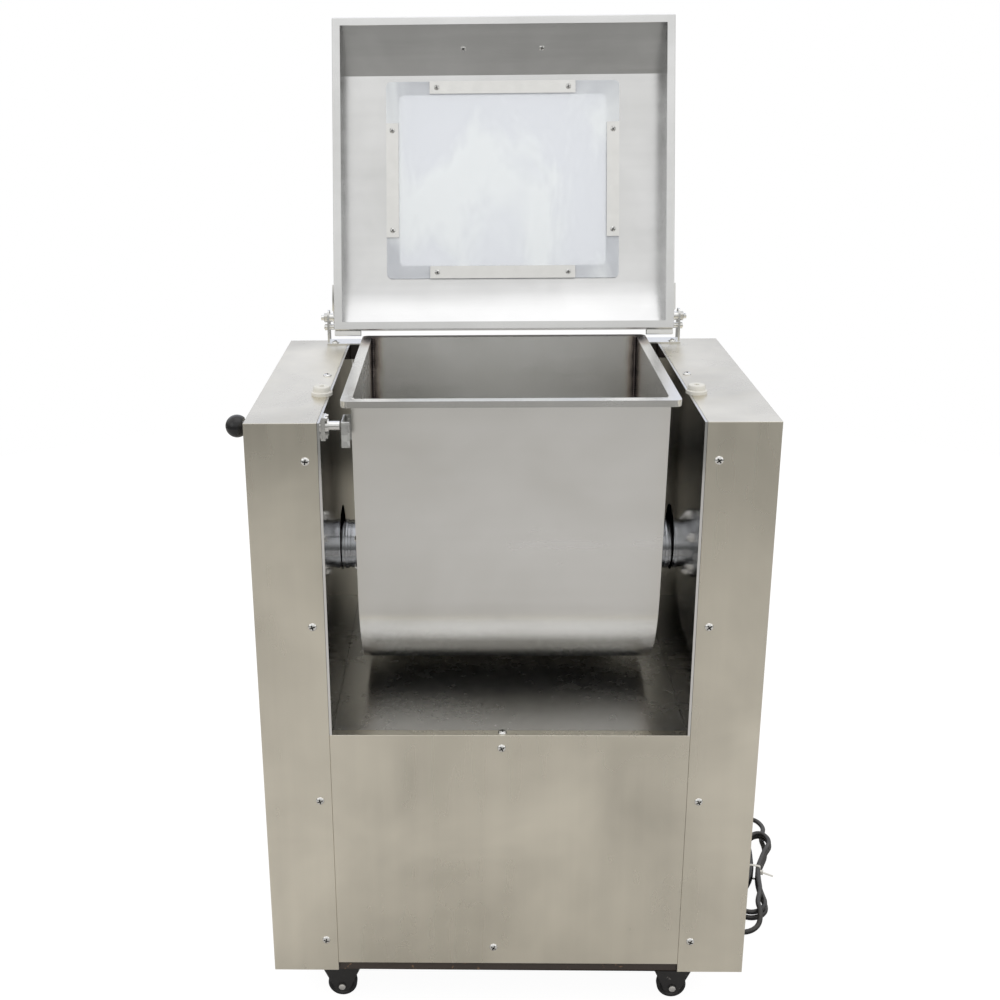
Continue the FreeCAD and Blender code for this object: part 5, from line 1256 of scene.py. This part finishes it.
@dataclass
class Lid(Assembly):
    """The domed lid, its window, strips and handle, and its hinges."""

    folds: dict[str, float] = field(default_factory=lambda: {
        "lid_shell": 0.0016, "lid_window": 0.0005, "window_strips": 0.0007, "lid_handle": 0.0,
        "lid_hinge_plates": 0.0008, "hinge_brackets": 0.0008, "hinge_pins": 0.0008, "lid_pads": 0.0015})


@dataclass
class Lock(Assembly):
    """The tilt lock: pin, ball knob and guide."""

    folds: dict[str, float] = field(default_factory=lambda: {
        "lock_pin": 0.0006, "ball_knob": 0.0008, "lock_guide": 0.0006})


@dataclass
class Fasteners(Assembly):
    """Every pan-head screw, with its cross recess.

    Attributes:
        nodes: The CAD nodes that hold screws.
        near: Distance below which two heights count as one.
        brim_share: Share of the head's radius from which a vertex is on its brim.
        least_round: Fewest brim vertices of a round head.
        brim_height: How far those may differ in height.
    """

    nodes: tuple[str, ...] = ("casing_screws", "lid_screws")
    near: float = 1e-5
    brim_share: float = 0.97
    least_round: int = 12
    brim_height: float = 1e-4

    def measured(self, solid: bmesh.types.BMesh) -> tuple[Vector, Vector, float, float] | None:
        """Read a screw's seat, outward direction, head radius and head height from its solid.

        Args:
            solid: One solid of a screw node.

        Returns:
            The sizes, or None for a solid without a round head.
        """
        solid.normal_update()
        centre = sum((v.co for v in solid.verts), Vector()) / len(solid.verts)
        areas: dict[tuple[float, ...], float] = {}
        for face in solid.faces:
            key = tuple(round(abs(c), 2) for c in face.normal)
            areas[key] = areas.get(key, 0.0) + face.calc_area()
        flat = max(areas, key=areas.get)
        axis = max((face for face in solid.faces if tuple(round(abs(c), 2) for c in face.normal) == flat),
                   key=lambda face: face.calc_area()).normal.copy()
        reach = max((v.co - centre).cross(axis).length for v in solid.verts)
        heights = [(v.co - centre).dot(axis) for v in solid.verts]
        widths = [(v.co - centre).cross(axis).length for v in solid.verts]
        low, high = min(heights), max(heights)
        brim = [h for h, w in zip(heights, widths) if w > reach * self.brim_share]
        seat = sum(brim) / len(brim)
        if len(brim) < self.least_round or max(brim) - min(brim) > self.brim_height:
            return None
        low_end = min(w for h, w in zip(heights, widths) if h < low + self.near)
        high_end = min(w for h, w in zip(heights, widths) if h > high - self.near)
        upward = seat < low + self.near or (seat < high - self.near and high_end > low_end)
        outward = axis if upward else -axis
        return centre + axis * seat, outward, reach, (high - seat) if upward else (seat - low)

    def build(self) -> None:
        """Replace the plain screw heads."""
        recipe = pan_head_recipe()
        for node in self.nodes:
            self.dress(node, recipe)

    def dress(self, node: str, recipe: Recipe) -> None:
        """Give one node's screws new heads, and keep their shanks, nuts and other solids."""
        sizes: dict[tuple[float, float], list[tuple[Vector, Vector]]] = {}
        rest: list[bpy.types.Mesh] = []
        for solid in islands(self.shop.frame["nodes"][node].data):
            found = self.measured(solid)
            if found is not None:
                seat, outward, radius, height = found
                sizes.setdefault((round(radius, 4), round(height, 4)), []).append((seat, outward))
                bmesh.ops.bisect_plane(solid, geom=[*solid.verts, *solid.edges, *solid.faces],
                                       dist=MERGE_DISTANCE, plane_co=seat, plane_no=outward, clear_outer=True)
                bmesh.ops.holes_fill(solid, edges=[edge for edge in solid.edges if edge.is_boundary])
            rest.append(bpy.data.meshes.new("rest"))
            solid.to_mesh(rest[-1])
            solid.free()
        heads = []
        for (radius, height), places in sizes.items():
            spots = bpy.data.meshes.new("spots")
            spots.from_pydata([seat for seat, _ in places], [], [])
            facing = spots.attributes.new("facing", "FLOAT_VECTOR", "POINT")
            facing.data.foreach_set("vector", [c for _, out in places for c in out])
            heads.append(recipe.run(spots, self.shop.paints[self.shop.slots[node]], head_radius=radius,
                                    head_height=height))
        whole = bmesh.new()
        for mesh in heads + rest:
            whole.from_mesh(mesh)
        self.shop.piece(f"{node}_recessed", to_mesh(whole, node), self.shop.slots[node], self.shop.bodies[node],
                        (node,))


@dataclass
class Casters(Assembly):
    """Four swivelling casters.

    Attributes:
        places: The corners they stand at.
        bore: Radius of a wheel's bore.
        rivet: Section of an axle's rivet head.
        rivet_face: Distance of the heads from the wheel's middle.
    """

    folds: dict[str, float] = field(default_factory=lambda: {"caster_tops": 0.0008})
    places: tuple[str, ...] = ("front_left", "front_right", "rear_left", "rear_right")
    bore: float = 0.0031
    rivet: tuple[tuple[float, float], ...] = ((0.0, 0.0), (0.0, 0.0049), (0.0005, 0.0048), (0.0011, 0.0032),
                                              (0.0012, 0.0))
    rivet_face: float = 0.0147

    def build(self) -> None:
        """Form the forks and turn the wheels."""
        super().build()
        for place in self.places:
            self.shop.softened(f"caster_fork_{place}", 0.0006, least=0.002)
            self.wheel(place)

    def wheel(self, place: str) -> None:
        """A moulded wheel with a crowned tread and a dished web."""
        node = f"caster_wheel_{place}"
        low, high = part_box(node)
        centre = (low + high) / 2
        radius, half = (high.z - low.z) / 2, (high.y - low.y) / 2
        web, hub = half - 0.0026, radius * 0.30
        side = [(half, self.bore), (half, hub), (web, hub + 0.0015), (web, radius * 0.68),
                (half - 0.0012, radius * 0.76), (half - 0.0008, radius * 0.90), (half * 0.55, radius), (0.0, radius)]
        closed = side + [(-h, r) for h, r in reversed(side[:-1])] + side[:1]
        mesh = lathe(rounded_line(closed, 0.0012, 3), aimed(centre, (0, 1, 0)), 56)
        self.shop.piece(f"{node}_moulded", mesh, Slot.WHEEL_BLACK, node.replace("caster_wheel", "wheel"), (node,))
        for end, label in ((-1, "front"), (1, "back")):
            head = lathe(self.rivet, aimed(centre + Vector((0, end * self.rivet_face, 0)), (0, end, 0)), 32)
            self.shop.piece(f"{label}_rivet_{place}", head, Slot.BRIGHT_FITTINGS, f"fork_{place}")


@dataclass
class Switches(Assembly):
    """The switch box with its start, reverse and stop buttons.

    Attributes:
        bezels: How far each button's bezel stands out.
        bezel_inner: A bezel's inner radius.
        bezel_outer: Its outer radius.
        bezel_lip: How much narrower its front is.
    """

    folds: dict[str, float] = field(default_factory=lambda: {"switch_box": 0.0012, "cord_gland": 0.0006})
    bezels: dict[str, float] = field(default_factory=lambda: {
        "start_button": 0.0026, "reverse_button": 0.0026, "stop_button": 0.0004})
    bezel_inner: float = 0.0116
    bezel_outer: float = 0.0152
    bezel_lip: float = 0.001

    def build(self) -> None:
        """Form the box, the bezels and the caps."""
        super().build()
        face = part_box("switch_box")[1].x
        inner, outer = self.bezel_inner, self.bezel_outer
        for node, stand in self.bezels.items():
            low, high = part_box(node)
            centre = (low + high) / 2
            rim = [(0.0, inner), (0.0, outer), (stand * 0.8, outer), (stand, outer - self.bezel_lip), (stand, inner),
                   (0.0, inner)]
            mesh = lathe(rounded_line(rim, 0.0004, 3), aimed((face, centre.y, centre.z), (1, 0, 0)))
            self.shop.piece(f"{node}_bezel", mesh, Slot.BRIGHT_FITTINGS, Body.FRAME)
            self.shop.softened(node, 0.0012)


# ---------------------------------------------------------------- the studio


@dataclass(frozen=True)
class Camera:
    """The photograph's camera.

    Attributes:
        place: Where it stands.
        pitch: How far it looks down.
        yaw: How far it looks to the right.
        roll: How far it leans.
        lens: Its focal length in millimetres on a 36 mm sensor.
        shift: Its shift to the side.
    """

    place: Point = (-0.0489, -1.9014, 1.328)
    pitch: float = math.radians(19.05)
    yaw: float = math.radians(-1.43)
    roll: float = math.radians(-0.61)
    lens: float = 48.46
    shift: float = 0.06

    def build(self) -> None:
        """Make the camera and use it."""
        data = bpy.data.cameras.new("camera")
        data.lens = self.lens
        data.sensor_width = 36.0
        data.sensor_fit = "HORIZONTAL"
        data.shift_x = self.shift
        camera = added("camera", data)
        ahead = Vector((math.sin(self.yaw) * math.cos(self.pitch), math.cos(self.yaw) * math.cos(self.pitch),
                        -math.sin(self.pitch)))
        right = Vector((math.cos(self.yaw), -math.sin(self.yaw), 0.0))
        up = right.cross(ahead)
        leaned = right * math.cos(self.roll) + up * math.sin(self.roll)
        upright = up * math.cos(self.roll) - right * math.sin(self.roll)
        turn = Matrix((leaned, upright, -ahead)).transposed()
        camera.matrix_world = Matrix.Translation(Vector(self.place)) @ turn.to_4x4()
        bpy.context.scene.camera = camera


@dataclass(frozen=True)
class Studio:
    """A pale floor, plain soft light and a white surround.

    Attributes:
        floor_radius: How far the floor runs.
        ambient: Light from all round.
        horizon: What metal reflects from the side.
        middle: What it reflects from a little above the horizon in front.
        zenith: What metal reflects from above.
        behind: What it reflects from the low sky behind the machine.
        stone: The floor's own colour.
        glow: The light of the part of it that the camera sees as white.
        glow_share: That part.
        target: What the lamps point at.
        lamps: Name, place, width and power of each lamp.
    """

    floor_radius: float = 2.9
    ambient: float = 0.92
    horizon: Colour = (0.26, 0.26, 0.25)
    middle: Colour = (0.86, 0.86, 0.85)
    zenith: Colour = (0.74, 0.74, 0.75)
    behind: Colour = (0.97, 1.01, 1.13)
    stone: Colour = (0.565, 0.55, 0.53)
    glow: float = 1.25
    glow_share: float = 0.76
    target: Point = (0.0, 0.0, 0.6)
    lamps: tuple[tuple[str, Point, float, float], ...] = (
        ("overhead", (0.1, -0.6, 3.3), 2.2, 8.0), ("left_front", (-2.4, -2.0, 1.9), 1.6, 3.6),
        ("right_front", (2.6, -1.7, 1.7), 1.4, 3.6))

    def build(self) -> None:
        """Make the world, the floor and the lamps."""
        self.surround()
        self.floor()
        for lamp in self.lamps:
            self.lamp(*lamp)

    def surround(self) -> None:
        """White for the camera and through glass, soft grey light, and a graded sky for metal to reflect."""
        world = bpy.data.worlds.new("surround")
        world.use_nodes = True
        bpy.context.scene.world = world
        nodes = Nodes(world.node_tree)
        nodes.tree.nodes.clear()
        ray = nodes.add("ShaderNodeLightPath")
        seen = Value(nodes, ray.outputs["Is Camera Ray"]).larger(Value(nodes, ray.outputs["Is Transmission Ray"]))
        glossy = Value(nodes, ray.outputs["Is Glossy Ray"])
        direction = nodes.output("ShaderNodeTexCoord", name="Generated")
        height = nodes.part(direction, "Z")
        sky = nodes.output("ShaderNodeValToRGB", {"stops": (
            (0.0, self.horizon), (0.42, self.middle), (0.95, self.zenith))}, {0: height})
        rear = nodes.between(nodes.part(direction, "Y"), 0.30, 0.75)
        sky = nodes.blend(rear * nodes.between(height, 0.10, 0.28), sky, self.behind)
        shown = nodes.blend(seen, nodes.blend(glossy, (self.ambient,) * 3, sky), WHITE)
        back = nodes.output("ShaderNodeBackground", inputs={"Color": shown, "Strength": 1.0})
        nodes.add("ShaderNodeOutputWorld", inputs={"Surface": back})

    def floor(self) -> None:
        """A pale disc that the camera sees as white with the object's shadow on it."""
        shader = Shader("floor")
        ray = shader.output("ShaderNodeLightPath", name="Is Camera Ray")
        matt = shader.output("ShaderNodeBsdfDiffuse", inputs={"Color": self.stone})
        white = shader.output("ShaderNodeEmission", inputs={"Color": WHITE, "Strength": self.glow})
        mixed = shader.output("ShaderNodeMixShader", inputs={0: ray * self.glow_share, 1: matt, 2: white})
        shader.add("ShaderNodeOutputMaterial", inputs={"Surface": mixed})
        disc = bmesh.new()
        bmesh.ops.create_circle(disc, cap_ends=True, segments=96, radius=self.floor_radius)
        mesh = bpy.data.meshes.new("floor")
        disc.to_mesh(mesh)
        disc.free()
        mesh.materials.append(shader.material)
        added("floor", mesh)

    def lamp(self, name: str, place: Point, size: float, watts: float) -> None:
        """A square soft lamp aimed at the target."""
        data = bpy.data.lights.new(name, "AREA")
        data.size, data.energy = size, watts
        added(name, data).matrix_world = aimed(place, Vector(place) - Vector(self.target))


def main() -> None:
    logging.basicConfig(level=logging.INFO, format="%(name)s: %(message)s")
    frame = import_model()
    bpy.context.scene.view_settings.view_transform = "Standard"
    Camera().build()
    shop = Workshop(frame)
    MainsLead(shop).build()
    Studio().build()
    shop.paint_nodes()
    for kind in (Columns, Tank, Lid, Lock, Fasteners, Casters, Switches):
        LOG.info("building %s", kind.__name__)
        kind(shop).build()


if __name__ == "__main__":
    main()
